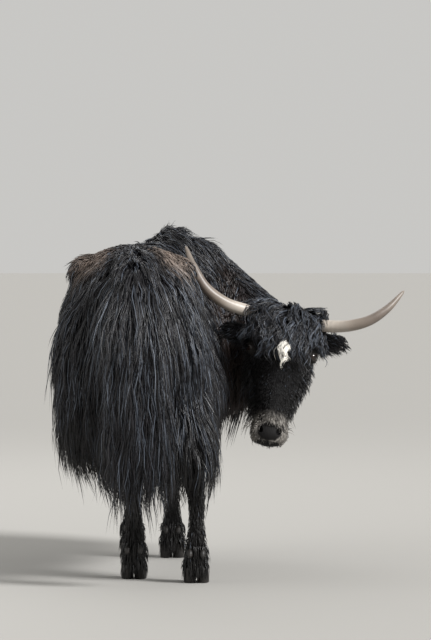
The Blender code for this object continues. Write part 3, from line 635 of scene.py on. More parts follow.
@dataclass(frozen=True)
class HornFinish(Finish):
    """Horn: keratin in thin sheaths, rubbed smooth towards the tip and ringed near the base."""

    base: str = "bdb3a8"
    middle: str = "857a6f"
    band: str = "6a5f57"
    tip: str = "776d64"

    def build(self) -> bpy.types.Material:
        """Builds the material.

        Returns:
            The material.
        """
        material, tree, shader = self.start()
        along = add_node(tree, "ShaderNodeAttribute", attribute_name="along")
        place = add_node(tree, "ShaderNodeTexCoord")
        flakes = add_node(
            tree, "ShaderNodeTexNoise", {"Vector": place.outputs["Object"], "Scale": 38.0, "Detail": 6.0, "Roughness": 0.62}
        )
        grain = add_node(
            tree, "ShaderNodeTexNoise", {"Vector": place.outputs["Object"], "Scale": 260.0, "Detail": 3.0}
        )
        nudged = add_node(
            tree,
            "ShaderNodeMath",
            {0: flakes.outputs["Fac"], 1: 0.24, 2: -0.12},
            operation="MULTIPLY_ADD",
        )
        shifted = add_node(
            tree, "ShaderNodeMath", {0: along.outputs["Fac"], 1: nudged.outputs["Value"]}, operation="ADD"
        )
        colour = add_node(tree, "ShaderNodeValToRGB", {"Fac": shifted.outputs["Value"]})
        ramp(
            colour,
            (
                (0.0, linear(self.base)),
                (0.26, linear(self.base) * 0.9),
                (0.46, linear(self.middle)),
                (0.66, linear(self.band)),
                (0.84, linear(self.tip)),
                (1.0, linear(self.tip) * 1.15),
            ),
        )
        spots = add_node(
            tree,
            "ShaderNodeMapRange",
            {"Value": flakes.outputs["Fac"], "From Min": 0.35, "From Max": 0.7, "To Min": 0.82, "To Max": 1.12},
        )
        mixed = add_node(
            tree,
            "ShaderNodeVectorMath",
            {0: colour.outputs["Color"], 1: spots.outputs["Result"]},
            operation="MULTIPLY",
        )
        bump = add_node(
            tree, "ShaderNodeBump", {"Height": grain.outputs["Fac"], "Strength": 0.25, "Distance": 0.0008}
        )
        tree.links.new(mixed.outputs["Vector"], shader.inputs["Base Color"])
        tree.links.new(bump.outputs["Normal"], shader.inputs["Normal"])
        return material


@dataclass(frozen=True)
class HoofFinish(Finish):
    """Hoof wall: dense dark keratin, dulled by dust and grown in faint level rings."""

    wall: str = "0f0d0c"
    dust: str = "221d19"

    def build(self) -> bpy.types.Material:
        """Builds the material.

        Returns:
            The material.
        """
        material, tree, shader = self.start()
        place = add_node(tree, "ShaderNodeTexCoord")
        rings = add_node(
            tree,
            "ShaderNodeTexWave",
            {"Vector": place.outputs["Object"], "Scale": 42.0, "Distortion": 1.6, "Detail": 2.0},
            bands_direction="Z",
        )
        dirt = add_node(
            tree, "ShaderNodeTexNoise", {"Vector": place.outputs["Object"], "Scale": 55.0, "Detail": 6.0}
        )
        colour = add_node(tree, "ShaderNodeValToRGB", {"Fac": dirt.outputs["Fac"]})
        ramp(colour, ((0.35, linear(self.wall)), (0.72, linear(self.dust))))
        bump = add_node(tree, "ShaderNodeBump", {"Height": rings.outputs["Fac"], "Strength": 0.3, "Distance": 0.001})
        tree.links.new(colour.outputs["Color"], shader.inputs["Base Color"])
        tree.links.new(bump.outputs["Normal"], shader.inputs["Normal"])
        return material


@dataclass(frozen=True)
class EyeFinish(Finish):
    """Wet eye: a dark brown iris round a level black pupil, under a clear cornea."""

    iris: str = "21140d"
    pupil: str = "050404"

    def build(self) -> bpy.types.Material:
        """Builds the material.

        Returns:
            The material.
        """
        material, tree, shader = self.start()
        off_axis = add_node(tree, "ShaderNodeAttribute", attribute_name="off_axis")
        colour = add_node(tree, "ShaderNodeValToRGB", {"Fac": off_axis.outputs["Fac"]})
        ramp(
            colour,
            (
                (0.0, linear(self.pupil)),
                (0.22, linear(self.pupil)),
                (0.30, linear(self.iris)),
                (0.62, linear(self.iris) * 0.6),
                (0.78, linear("16100d")),
            ),
        )
        tree.links.new(colour.outputs["Color"], shader.inputs["Base Color"])
        shader.inputs["Coat Weight"].default_value = 0.45
        shader.inputs["Coat Roughness"].default_value = 0.02
        return material


@dataclass(frozen=True)
class StudioFinish(Finish):
    """Matt painted floor of the studio."""

    colour: str = "a3a19d"

    def build(self) -> bpy.types.Material:
        """Builds the material.

        Returns:
            The material.
        """
        material, _, shader = self.start()
        shader.inputs["Base Color"].default_value = (*linear(self.colour), 1.0)
        return material


def coloured(obj: bpy.types.Object, name: str, values: np.ndarray) -> None:
    """Stores a colour or a number for each point of a mesh.

    Args:
        obj: The object.
        name: The attribute's name.
        values: An (n, 3) array of colours or n numbers.
    """
    if values.ndim == 1:
        attribute = obj.data.attributes.new(name, "FLOAT", "POINT")
        attribute.data.foreach_set("value", values.astype(np.float32))
        return
    attribute = obj.data.attributes.new(name, "FLOAT_COLOR", "POINT")
    full = np.concatenate([values, np.ones((len(values), 1))], axis=1).astype(np.float32)
    attribute.data.foreach_set("color", full.ravel())


def points_of(obj: bpy.types.Object) -> np.ndarray:
    """The points of a mesh.

    Args:
        obj: The object.

    Returns:
        An (n, 3) array.
    """
    found = np.empty(len(obj.data.vertices) * 3, np.float32)
    obj.data.vertices.foreach_get("co", found)
    return found.reshape(-1, 3).astype(float)


def settled(
    obj: bpy.types.Object, material: bpy.types.Material, slot: Slot, replaced: Sequence[str] = ()
) -> bpy.types.Object:
    """Moves a finished piece into the part's frame, dresses it and lets it ride.

    Args:
        obj: The piece, laid out round the middle of the hind feet.
        material: Its finish.
        slot: The record's slot that the finish belongs to.
        replaced: The CAD nodes that it stands for.

    Returns:
        The piece.
    """
    obj.data.transform(Matrix.Translation(SHIFT))
    obj.data.materials.clear()
    obj.data.materials.append(material)
    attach(obj, BODY)
    if replaced:
        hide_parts(*replaced)
    LOG.info("%s: %d faces", obj.name, len(obj.data.polygons))
    return obj


# Places of the markings, in the yak's own layout: middle, radii and colour.
HIP_BROWN = ("554941", "80736a")
NECK_BROWN = "2c201b"
COAT_BLACK = "161519"
# Blue-grey of the pale tufts, a painted highlight for the sheen of the black hair.
COAT_SHEEN_STREAK = "4b515b"
# Brown-black of the low coat; made darker still, it is the painted shade in the hollow and along the crease.
COAT_LOW_BROWN_AND_SHADE = "0e0c0b"
BLAZE_WHITE = "e6e2da"
LID_GREY_AND_HIGHLIGHT = "3a3633"
MUZZLE_GREY = "99948e"
NOSE_BLACK = "161313"


# Where the hollow between thigh and barrel lies, along the body: the coat is thinner there and painted shade darkens
# it.
HOLLOW_Y = 0.02
# How high the crease of the left flank lies, above which the coat is flat; painted shade darkens the coat along it.
CREASE_Z = 0.668


class Markings:
    """The colours of the coat, alike on the skin and on the tufts, with painted shade in the low parts, the hollow
    and the crease and a painted highlight round the eyes.
    """

    HIPS = (
        (Vector((-0.160, 0.03, 1.080)), Vector((0.085, 0.16, 0.060)), 0),
        (Vector((0.085, 0.10, 1.075)), Vector((0.075, 0.20, 0.075)), 1),
    )

    @staticmethod
    def noise(points: np.ndarray, size: float, seed: float) -> np.ndarray:
        """A cheap soft pattern from sums of waves.

        Args:
            points: An (n, 3) array.
            size: The size of its patches in metres.
            seed: Shifts the pattern.

        Returns:
            n values from about -1 to 1.
        """
        total = np.zeros(len(points))
        for k, turn in enumerate((0.0, 1.1, 2.3, 3.7)):
            way = np.array((math.cos(turn + seed), math.sin(turn * 1.7 + seed), math.cos(turn * 2.3 - seed)))
            total += np.sin(points @ way * TAU / size * (1.0 + 0.37 * k) + seed * (k + 1.3))
        return total / 3.0

    @classmethod
    def colour(cls, points: np.ndarray, normals: np.ndarray) -> np.ndarray:
        """The coat's mean colour at places of the skin.

        Args:
            points: An (n, 3) array.
            normals: How the skin faces there.

        Returns:
            An (n, 3) array of linear colours.
        """
        colours = np.tile(linear(COAT_BLACK), (len(points), 1))

        def lay(colour: np.ndarray, share: np.ndarray) -> None:
            colours[:] = colours * (1 - share[:, None]) + colour * share[:, None]

        # Darker towards the bottom: the low coat's own brown-black tone, with painted shade where less light reaches
        # under the body.
        low = blend_step(0.85, 0.45, points[:, 2]) * 0.85
        lay(linear(COAT_LOW_BROWN_AND_SHADE), low)
        # Painted shade in the hollow between thigh and barrel, on the sideways-facing coat.
        width = np.where(points[:, 1] > HOLLOW_Y, 0.110, 0.040)
        hollow = np.exp(-(((points[:, 1] - HOLLOW_Y) / width) ** 2)) * blend_step(0.50, 0.58, points[:, 2])
        hollow *= blend_step(1.0, 0.90, points[:, 2]) * blend_step(0.3, 0.7, np.abs(normals[:, 0]))
        lay(linear(COAT_LOW_BROWN_AND_SHADE) * 0.3, hollow)
        # Painted shade along the crease, on the coat that faces left.
        crease_shade = np.exp(-(((points[:, 2] - CREASE_Z) / 0.026) ** 2)) * blend_step(-0.3, -0.7, normals[:, 0])
        lay(linear(COAT_LOW_BROWN_AND_SHADE) * 0.3, crease_shade)
        speckle = cls.noise(points, 0.035, 0.4)
        for centre, radii, tone in cls.HIPS:
            reach = np.linalg.norm((points - np.array(centre)) / np.array(radii), axis=1)
            share = blend_step(1.25, 0.55, reach + 0.22 * speckle) * blend_step(0.1, 0.5, normals[:, 2])
            lay(linear(HIP_BROWN[tone]), share * 0.9)
        neck = blend_step(0.02, 0.10, points[:, 0] - 0.14) * blend_step(0.62, 0.76, points[:, 1])
        near = blend_step(0.1, -0.3, normals[:, 1] - 0.2) * blend_step(0.75, 0.35, normals[:, 2])
        lay(linear(NECK_BROWN), neck * near * 0.8)
        local = in_head(points)
        face = (np.abs(local[:, 0]) < 0.2) & (local[:, 1] < 0.2) & (local[:, 2] < 0.07) & (points[:, 0] > 0.3)
        blaze = np.hypot(local[:, 0] / 0.020, (local[:, 2] + 0.094) / 0.032)
        lay(linear(BLAZE_WHITE), face * (local[:, 1] < 0.05) * blend_step(1.3, 0.75, blaze + 0.15 * speckle))
        aside = np.linalg.norm(np.stack([np.abs(local[:, 0]), local[:, 1], local[:, 2]], axis=1)
                               - np.array(EYE_PLACE), axis=1)
        # Lighter grey round each eye: the lids' skin, with a painted highlight on lids and brow.
        lay(linear(LID_GREY_AND_HIGHLIGHT), face * blend_step(0.030, 0.025, aside) * 0.8)
        muzzle = blend_step(-0.315, -0.355, local[:, 2] + 0.012 * speckle) * face * (local[:, 2] > -0.43)
        lay(linear(MUZZLE_GREY), muzzle * blend_step(-0.9, 0.6, speckle + 0.3) * 0.85)
        pad = np.hypot(local[:, 0] / 0.042, (local[:, 2] + 0.398) / 0.030)
        lay(linear(NOSE_BLACK), face * (local[:, 1] < 0.06) * blend_step(1.15, 0.9, pad))
        return colours


class Surface:
    """The skin as arrays: what grows on it samples its roots here."""

    def __init__(self, obj: bpy.types.Object) -> None:
        """Reads the skin's mesh.

        Args:
            obj: The skin, of triangles, with its unwrap.
        """
        mesh = obj.data
        mesh.calc_loop_triangles()
        count = len(mesh.loop_triangles)
        corners = np.empty(count * 3, np.int32)
        loops = np.empty(count * 3, np.int32)
        mesh.loop_triangles.foreach_get("vertices", corners)
        mesh.loop_triangles.foreach_get("loops", loops)
        normals = np.empty(len(mesh.vertices) * 3, np.float32)
        mesh.vertices.foreach_get("normal", normals)
        flat = np.empty(len(mesh.loops) * 2, np.float32)
        mesh.uv_layers[0].data.foreach_get("uv", flat)
        self.points = points_of(obj)
        self.normals = normals.reshape(-1, 3).astype(float)
        self.corners = corners.reshape(-1, 3)
        self.flat = flat.reshape(-1, 2)[loops.reshape(-1, 3)]
        places = self.points[self.corners]
        self.areas = 0.5 * np.linalg.norm(
            np.cross(places[:, 1] - places[:, 0], places[:, 2] - places[:, 0]), axis=1
        )
        self.middles = places.mean(1)
        self.facings = unit(self.normals[self.corners].mean(1))
        self.tree = BVHTree.FromPolygons(
            [tuple(p) for p in self.points], [tuple(c) for c in self.corners.tolist()]
        )

    def sample(
        self, weights: np.ndarray, count: int, rng: np.random.Generator
    ) -> tuple[np.ndarray, np.ndarray, np.ndarray]:
        """Draws roots over the skin.

        Args:
            weights: How densely each triangle is rooted.
            count: How many roots.
            rng: The draw.

        Returns:
            Their places, normals and places on the unwrap.
        """
        shares = np.cumsum(weights * self.areas)
        picks = np.searchsorted(shares, (np.arange(count) + rng.random(count)) / count * shares[-1])
        picks = np.minimum(picks, len(shares) - 1)
        u, v = rng.random(count), rng.random(count)
        over = u + v > 1
        u[over], v[over] = 1 - u[over], 1 - v[over]
        mix = np.stack([1 - u - v, u, v], axis=1)[:, :, None]
        corners = self.corners[picks]
        return (
            (self.points[corners] * mix).sum(1),
            unit((self.normals[corners] * mix).sum(1)),
            (self.flat[picks] * mix).sum(1),
        )

    def off_skin(self, points: np.ndarray, room: np.ndarray) -> np.ndarray:
        """Moves points out until they keep their room from the skin.

        Args:
            points: An (n, 3) array.
            room: n distances.

        Returns:
            The moved points.
        """
        moved = points.copy()
        for i, (x, y, z) in enumerate(points.tolist()):
            near, normal, _, distance = self.tree.find_nearest((x, y, z), 0.25)
            if near is None:
                continue
            gap = Vector((x, y, z)) - near
            if gap.dot(normal) < 0:
                moved[i] = near + normal * room[i]
            elif distance < room[i]:
                moved[i] = near + (gap * 0.5 / max(distance, 1e-6) + normal * 0.5).normalized() * room[i]
        return moved


Field = Callable[[np.ndarray, np.ndarray], np.ndarray]


@dataclass(frozen=True)
class Growth:
    """How the tufts of one part of the coat grow.

    Attributes:
        name: The piece's name.
        slot: The record's slot.
        tufts: How many tufts.
        locks: How many locks they gather in.
        rows: How many points each tuft has.
        width: Its width at the root.
        lift: The angle at which it leaves the skin.
        droop: How much of its heading turns down at each step.
        curl: How far it waves from its line.
        wave: The length of one wave.
        gather: How far a lock's tufts come together at its tip.
        spread: How much the heading of a lock differs at random.
        streaks: The share of pale tufts, painted highlights that stand for the coat's sheen.
        seed: The draw's seed.
        where: The density of roots.
        length: The length of the hair.
        lie: The way the hair runs.
        depth: How far the top of the coat stands off the skin.
        tuck: How much low hair is drawn in under the body.
        matt: Whether it is the short matted hair instead of the long glossy one.
        clear: How far the hair keeps from the eyes and from what lies straight before them.
    """

    name: str
    slot: Slot
    tufts: int
    locks: int
    rows: int
    width: float
    lift: float
    droop: float
    curl: float
    wave: float
    gather: float
    spread: float
    streaks: float
    seed: int
    where: Field
    length: Field
    lie: Field
    depth: Field
    tuck: float = 0.22
    matt: bool = False
    clear: float = 0.0


class Coat:
    """Grows tufts on the skin. Locks are traced first, and each tuft then follows the lock nearest to its root."""

    SINK = 0.003
    PATCH = 0.0015

    def __init__(self, surface: Surface, glossy: bpy.types.Material, matt: bpy.types.Material) -> None:
        """Keeps what every growth needs.

        Args:
            surface: The skin.
            glossy: The long hair's finish.
            matt: The short hair's finish.
        """
        self.surface = surface
        self.glossy = glossy
        self.matt = matt

    def traced(
        self, growth: Growth, roots: np.ndarray, normals: np.ndarray, rng: np.random.Generator
    ) -> tuple[np.ndarray, np.ndarray]:
        """Traces the middle line of each lock.

        Args:
            growth: How it grows.
            roots: Where each starts.
            normals: How the skin faces there.
            rng: The draw.

        Returns:
            The (n, rows, 3) lines and their n lengths.
        """
        steps = growth.rows - 1
        count = len(roots)
        lengths = growth.length(roots, normals) * rng.uniform(0.8, 1.15, count)
        lie = growth.lie(roots, normals) + rng.normal(0, growth.spread, (count, 3))
        lie = unit(lie - normals * (lie * normals).sum(1)[:, None])
        lift = growth.lift * rng.uniform(0.6, 1.4, count)[:, None]
        heading = unit(lie * np.cos(lift) + normals * np.sin(lift))
        layer = np.sqrt(rng.uniform(0.05, 1.0, count))
        level = unit(normals * (1, 1, 0) + 1e-6)
        lines = np.empty((count, growth.rows, 3))
        lines[:, 0] = roots - normals * self.SINK
        place = roots.copy()
        for i in range(1, growth.rows):
            tuck = blend_step(0.52, 0.36, place[:, 2])[:, None] * growth.tuck
            heading = unit(heading * (1 - growth.droop) + DOWN * growth.droop - level * tuck)
            place = place + heading * (lengths / steps)[:, None]
            share = min(1.0, i / steps * 2.0)
            room = 0.002 + layer * growth.depth(place, normals) * share
            place = self.surface.off_skin(place, room)
            lines[:, i] = place
        return lines, lengths

    @staticmethod
    def along(lines: np.ndarray, picks: np.ndarray, places: np.ndarray) -> np.ndarray:
        """Reads places along picked lines.

        Args:
            lines: The (n, rows, 3) lines.
            picks: m line numbers.
            places: The (m, rows) places, from 0 to 1 and a little over.

        Returns:
            The (m, rows, 3) points.
        """
        last = lines.shape[1] - 1
        scaled = places * last
        low = np.clip(scaled.astype(int), 0, last - 1)
        f = (scaled - low)[..., None]
        return lines[picks[:, None], low] * (1 - f) + lines[picks[:, None], low + 1] * f

    def grow(self, growth: Growth) -> bpy.types.Object:
        """Grows one piece of coat.

        Args:
            growth: How it grows.

        Returns:
            The finished piece.
        """
        rng = np.random.default_rng(growth.seed)
        weights = growth.where(self.surface.middles, self.surface.facings)
        lock_roots, lock_normals, _ = self.surface.sample(weights, growth.locks, rng)
        lines, lengths = self.traced(growth, lock_roots, lock_normals, rng)
        roots, normals, flat = self.surface.sample(weights, growth.tufts, rng)
        tree = KDTree(growth.locks)
        for i, key in enumerate(lock_roots + lock_normals * 0.04):
            tree.insert(key, i)
        tree.balance()
        picks = np.array([tree.find(key)[1] for key in roots + normals * 0.04])
        t = np.linspace(0, 1, growth.rows)
        reach = rng.uniform(0.62, 1.08, growth.tufts)
        paths = self.along(lines, picks, t[None, :] * reach[:, None])
        offset = roots - lock_roots[picks]
        close = 1.0 - growth.gather * t**1.3
        paths += offset[:, None, :] * close[None, :, None]
        # The first point is put back under the skin at the tuft's own root.
        paths[:, 0] = roots - normals * self.SINK
        phases = rng.uniform(0, TAU, growth.locks)[picks] + rng.normal(0, 0.5, growth.tufts)
        turns = TAU * t[None, :] * (lengths[picks] * reach / growth.wave)[:, None] + phases[:, None]
        heading = unit(paths[:, -1] - paths[:, 0])
        side = unit(np.cross(heading, normals) + 1e-6)
        out = unit(np.cross(side, heading))
        swell = (growth.curl * np.minimum(1.0, t * 2.5))[None, :] * rng.uniform(0.5, 1.3, growth.tufts)[:, None]
        paths += side[:, None, :] * (np.sin(turns) * swell)[..., None]
        paths += out[:, None, :] * (np.cos(turns * 0.9) * swell * 0.45)[..., None]
        loose = rng.normal(0, 1, (growth.tufts, 3)) * (lengths[picks] * 0.035)[:, None]
        paths += loose[:, None, :] * (t**1.5)[None, :, None]
        paths[..., 2] = np.maximum(paths[..., 2], 0.004)
        tints = self.tints(growth, roots, normals, picks, rng)
        seen = self.off_eyes(paths, growth.clear)
        obj = self.tuft_mesh(growth, paths[seen], out[seen], flat[seen], tints[seen], rng)
        return settled(obj, self.matt if growth.matt else self.glossy, growth.slot)

    @staticmethod
    def off_eyes(paths: np.ndarray, clear: float) -> np.ndarray:
        """Tells which tufts leave the eyes free.

        Args:
            paths: The (n, rows, 3) lines.
            clear: How far they must keep.

        Returns:
            n truths.
        """
        free = np.ones(len(paths), bool)
        if clear <= 0:
            return free
        for side in (-1, 1):
            eye = np.array(HEAD @ Vector((side * EYE_PLACE.x, EYE_PLACE.y, EYE_PLACE.z)))
            before = unit(np.array(HEAD_TURN) @ np.array((side * 0.45, -1.0, -0.05)))
            away = paths - eye
            along = np.clip(away @ before, 0.0, 0.14)
            free &= np.linalg.norm(away - along[..., None] * before, axis=2).min(1) > clear
        return free

    @staticmethod
    def tints(
        growth: Growth, roots: np.ndarray, normals: np.ndarray, picks: np.ndarray, rng: np.random.Generator
    ) -> np.ndarray:
        """The colour of each tuft, with pale tufts as painted highlights of the coat's sheen.

        Args:
            growth: How it grows.
            roots: Its root.
            normals: How the skin faces there.
            picks: The lock that it belongs to.
            rng: The draw.

        Returns:
            An (n, 3) array of linear colours.
        """
        count = len(roots)
        base = Markings.colour(roots + rng.normal(0, 0.004, (count, 3)), normals)
        base = base * rng.lognormal(0, 0.17, growth.locks)[picks][:, None]
        base = base * rng.lognormal(0, 0.18, count)[:, None]
        # Pale tufts are painted highlights of the coat's blue-grey sheen: more of them up high and on the right side
        # of the rear, where the key light falls.
        lit = growth.streaks * (0.35 + 0.95 * blend_step(0.45, 0.85, roots[:, 2]))
        lit *= 1.0 + 1.1 * blend_step(0.02, 0.14, roots[:, 0]) * (roots[:, 1] < 0.1)
        pale = (rng.random(count) < lit)[:, None]
        dark = (base.mean(1, keepdims=True) < 0.03) & (base.mean(1, keepdims=True) > 0.0034)
        sheen_streak = linear(COAT_SHEEN_STREAK) * rng.uniform(0.5, 1.3, count)[:, None]
        return np.where(pale & dark, sheen_streak, base)

    def tuft_mesh(
        self,
        growth: Growth,
        paths: np.ndarray,
        out: np.ndarray,
        flat: np.ndarray,
        tints: np.ndarray,
        rng: np.random.Generator,
    ) -> bpy.types.Object:
        """Makes closed three-sided strands along paths.

        Args:
            growth: How they grow.
            paths: The (n, rows, 3) lines.
            out: Which way each strand's ridge faces.
            flat: Its root's place on the unwrap.
            tints: Its colour.
            rng: The draw.

        Returns:
            The object.
        """
        count, rows, _ = paths.shape
        rings = rows - 1
        tangent = unit(np.concatenate([paths[:, 1:2] - paths[:, :1], paths[:, 2:] - paths[:, :-2]], axis=1))
        side = unit(np.cross(tangent, out[:, None, :]) + np.array((1e-4, 2e-4, 1e-4)))
        ridge = np.cross(side, tangent)
        roll = rng.normal(0, 0.5, count)[:, None, None]
        side, ridge = (
            side * np.cos(roll) + ridge * np.sin(roll),
            ridge * np.cos(roll) - side * np.sin(roll),
        )
        t = np.arange(rings) / rings
        share = np.interp(t, (0.0, 0.25, 0.6, 1.0), (0.75, 1.0, 0.8, 0.22))
        width = (growth.width * rng.uniform(0.7, 1.3, count))[:, None] * share[None, :]
        half = side * (width / 2)[..., None]
        thick = ridge * (width * 0.42)[..., None]
        ring = np.stack([paths[:, :-1] - half, paths[:, :-1] + half, paths[:, :-1] + thick], axis=2)
        points = np.concatenate([ring.reshape(count, rings * 3, 3), paths[:, -1:]], axis=1)
        each = rings * 3 + 1
        faces = [(0, 2, 1)]
        for r in range(rings - 1):
            for k in range(3):
                a, b = 3 * r + k, 3 * r + (k + 1) % 3
                faces += [(a, b, b + 3), (a, b + 3, a + 3)]
        last = 3 * (rings - 1)
        faces += [(last + k, last + (k + 1) % 3, each - 1) for k in range(3)]
        one = np.array(faces, np.int32)
        corners = (one[None] + (np.arange(count, dtype=np.int32) * each)[:, None, None]).reshape(-1)
        mesh = bpy.data.meshes.new(growth.name)
        mesh.vertices.add(count * each)
        mesh.vertices.foreach_set("co", points.astype(np.float32).ravel())
        mesh.loops.add(len(corners))
        mesh.loops.foreach_set("vertex_index", corners)
        mesh.polygons.add(len(corners) // 3)
        mesh.polygons.foreach_set("loop_start", np.arange(0, len(corners), 3, dtype=np.int32))
        mesh.update(calc_edges=True)
        mesh.shade_smooth()
        down = np.concatenate([np.repeat(t, 3), [1.0]])
        around = np.concatenate([np.tile((-1.0, 1.0, 0.0), rings), [0.0]])
        patch = np.stack([around, down * 2 - 1], axis=1) * self.PATCH
        flats = (flat[:, None, :] + patch[None]).reshape(-1, 2)
        layer = mesh.uv_layers.new(name="OFBake")
        layer.data.foreach_set("uv", flats[corners].astype(np.float32).ravel())
        obj = bpy.data.objects.new(growth.name, mesh)
        bpy.context.scene.collection.objects.link(obj)
        # Each strand is darker at its root and lighter towards its tip: painted shade of the hair crowded round the
        # root.
        tone = np.interp(down, (0.0, 0.4, 1.0), (0.75, 1.0, 1.2))
        coloured(obj, "tint", (tints[:, None, :] * tone[None, :, None]).reshape(-1, 3))
        return obj


def interp(table: Sequence[tuple[float, float]], values: np.ndarray) -> np.ndarray:
    """Reads a table of pairs at values.

    Args:
        table: Pairs in rising order of the first number.
        values: Where it is read.

    Returns:
        What the table gives there.
    """
    keys, found = zip(*table)
    return np.interp(values, keys, found)


class Region:
    """Tells the parts of the skin apart. Each method gives a share from 0 to 1 for every point."""

    @staticmethod
    def head(points: np.ndarray) -> np.ndarray:
        """The head with its ears, in front of the nape."""
        local = in_head(points)
        front = (local - np.array(NAPE_POINT)) @ np.array(NAPE_NORMAL) < 0
        near = (points[:, 0] > 0.235) & (points[:, 1] < 0.80) & (points[:, 2] > 0.38)
        return (front & near & (np.abs(local[:, 0]) < 0.26)).astype(float)

    @classmethod
    def ear(cls, points: np.ndarray) -> np.ndarray:
        """The two ears."""
        local = in_head(points)
        out = (np.abs(local[:, 0]) > 0.108) & (local[:, 2] < -0.02) & (local[:, 2] > -0.12)
        return cls.head(points) * out

    @staticmethod
    def dock(points: np.ndarray) -> np.ndarray:
        """The dock of the tail."""
        return (points[:, 1] < -0.262).astype(float)

    @staticmethod
    def leg(points: np.ndarray) -> np.ndarray:
        """The four legs under the trunk."""
        found = np.zeros(len(points))
        for foot in FEET.values():
            reach = np.abs(points[:, :2] - np.array(foot)[:2])
            found = np.maximum(found, (reach[:, 0] < 0.085) & (reach[:, 1] < 0.15))
        return found * (points[:, 2] < 0.47)

    @classmethod
    def neck(cls, points: np.ndarray) -> np.ndarray:
        """The neck from the shoulders to the nape."""
        past = (points - np.array(NECK_BASE_POINT)) @ np.array(NECK_BASE_NORMAL) > 0
        return (past & (points[:, 1] > 0.58)) * (1 - cls.head(points))

    @classmethod
    def trunk(cls, points: np.ndarray) -> np.ndarray:
        """The body without head, neck, legs and tail."""
        rest = (1 - cls.head(points)) * (1 - cls.neck(points)) * (1 - cls.leg(points))
        return rest * (1 - cls.dock(points)) * (points[:, 2] > 0.44)


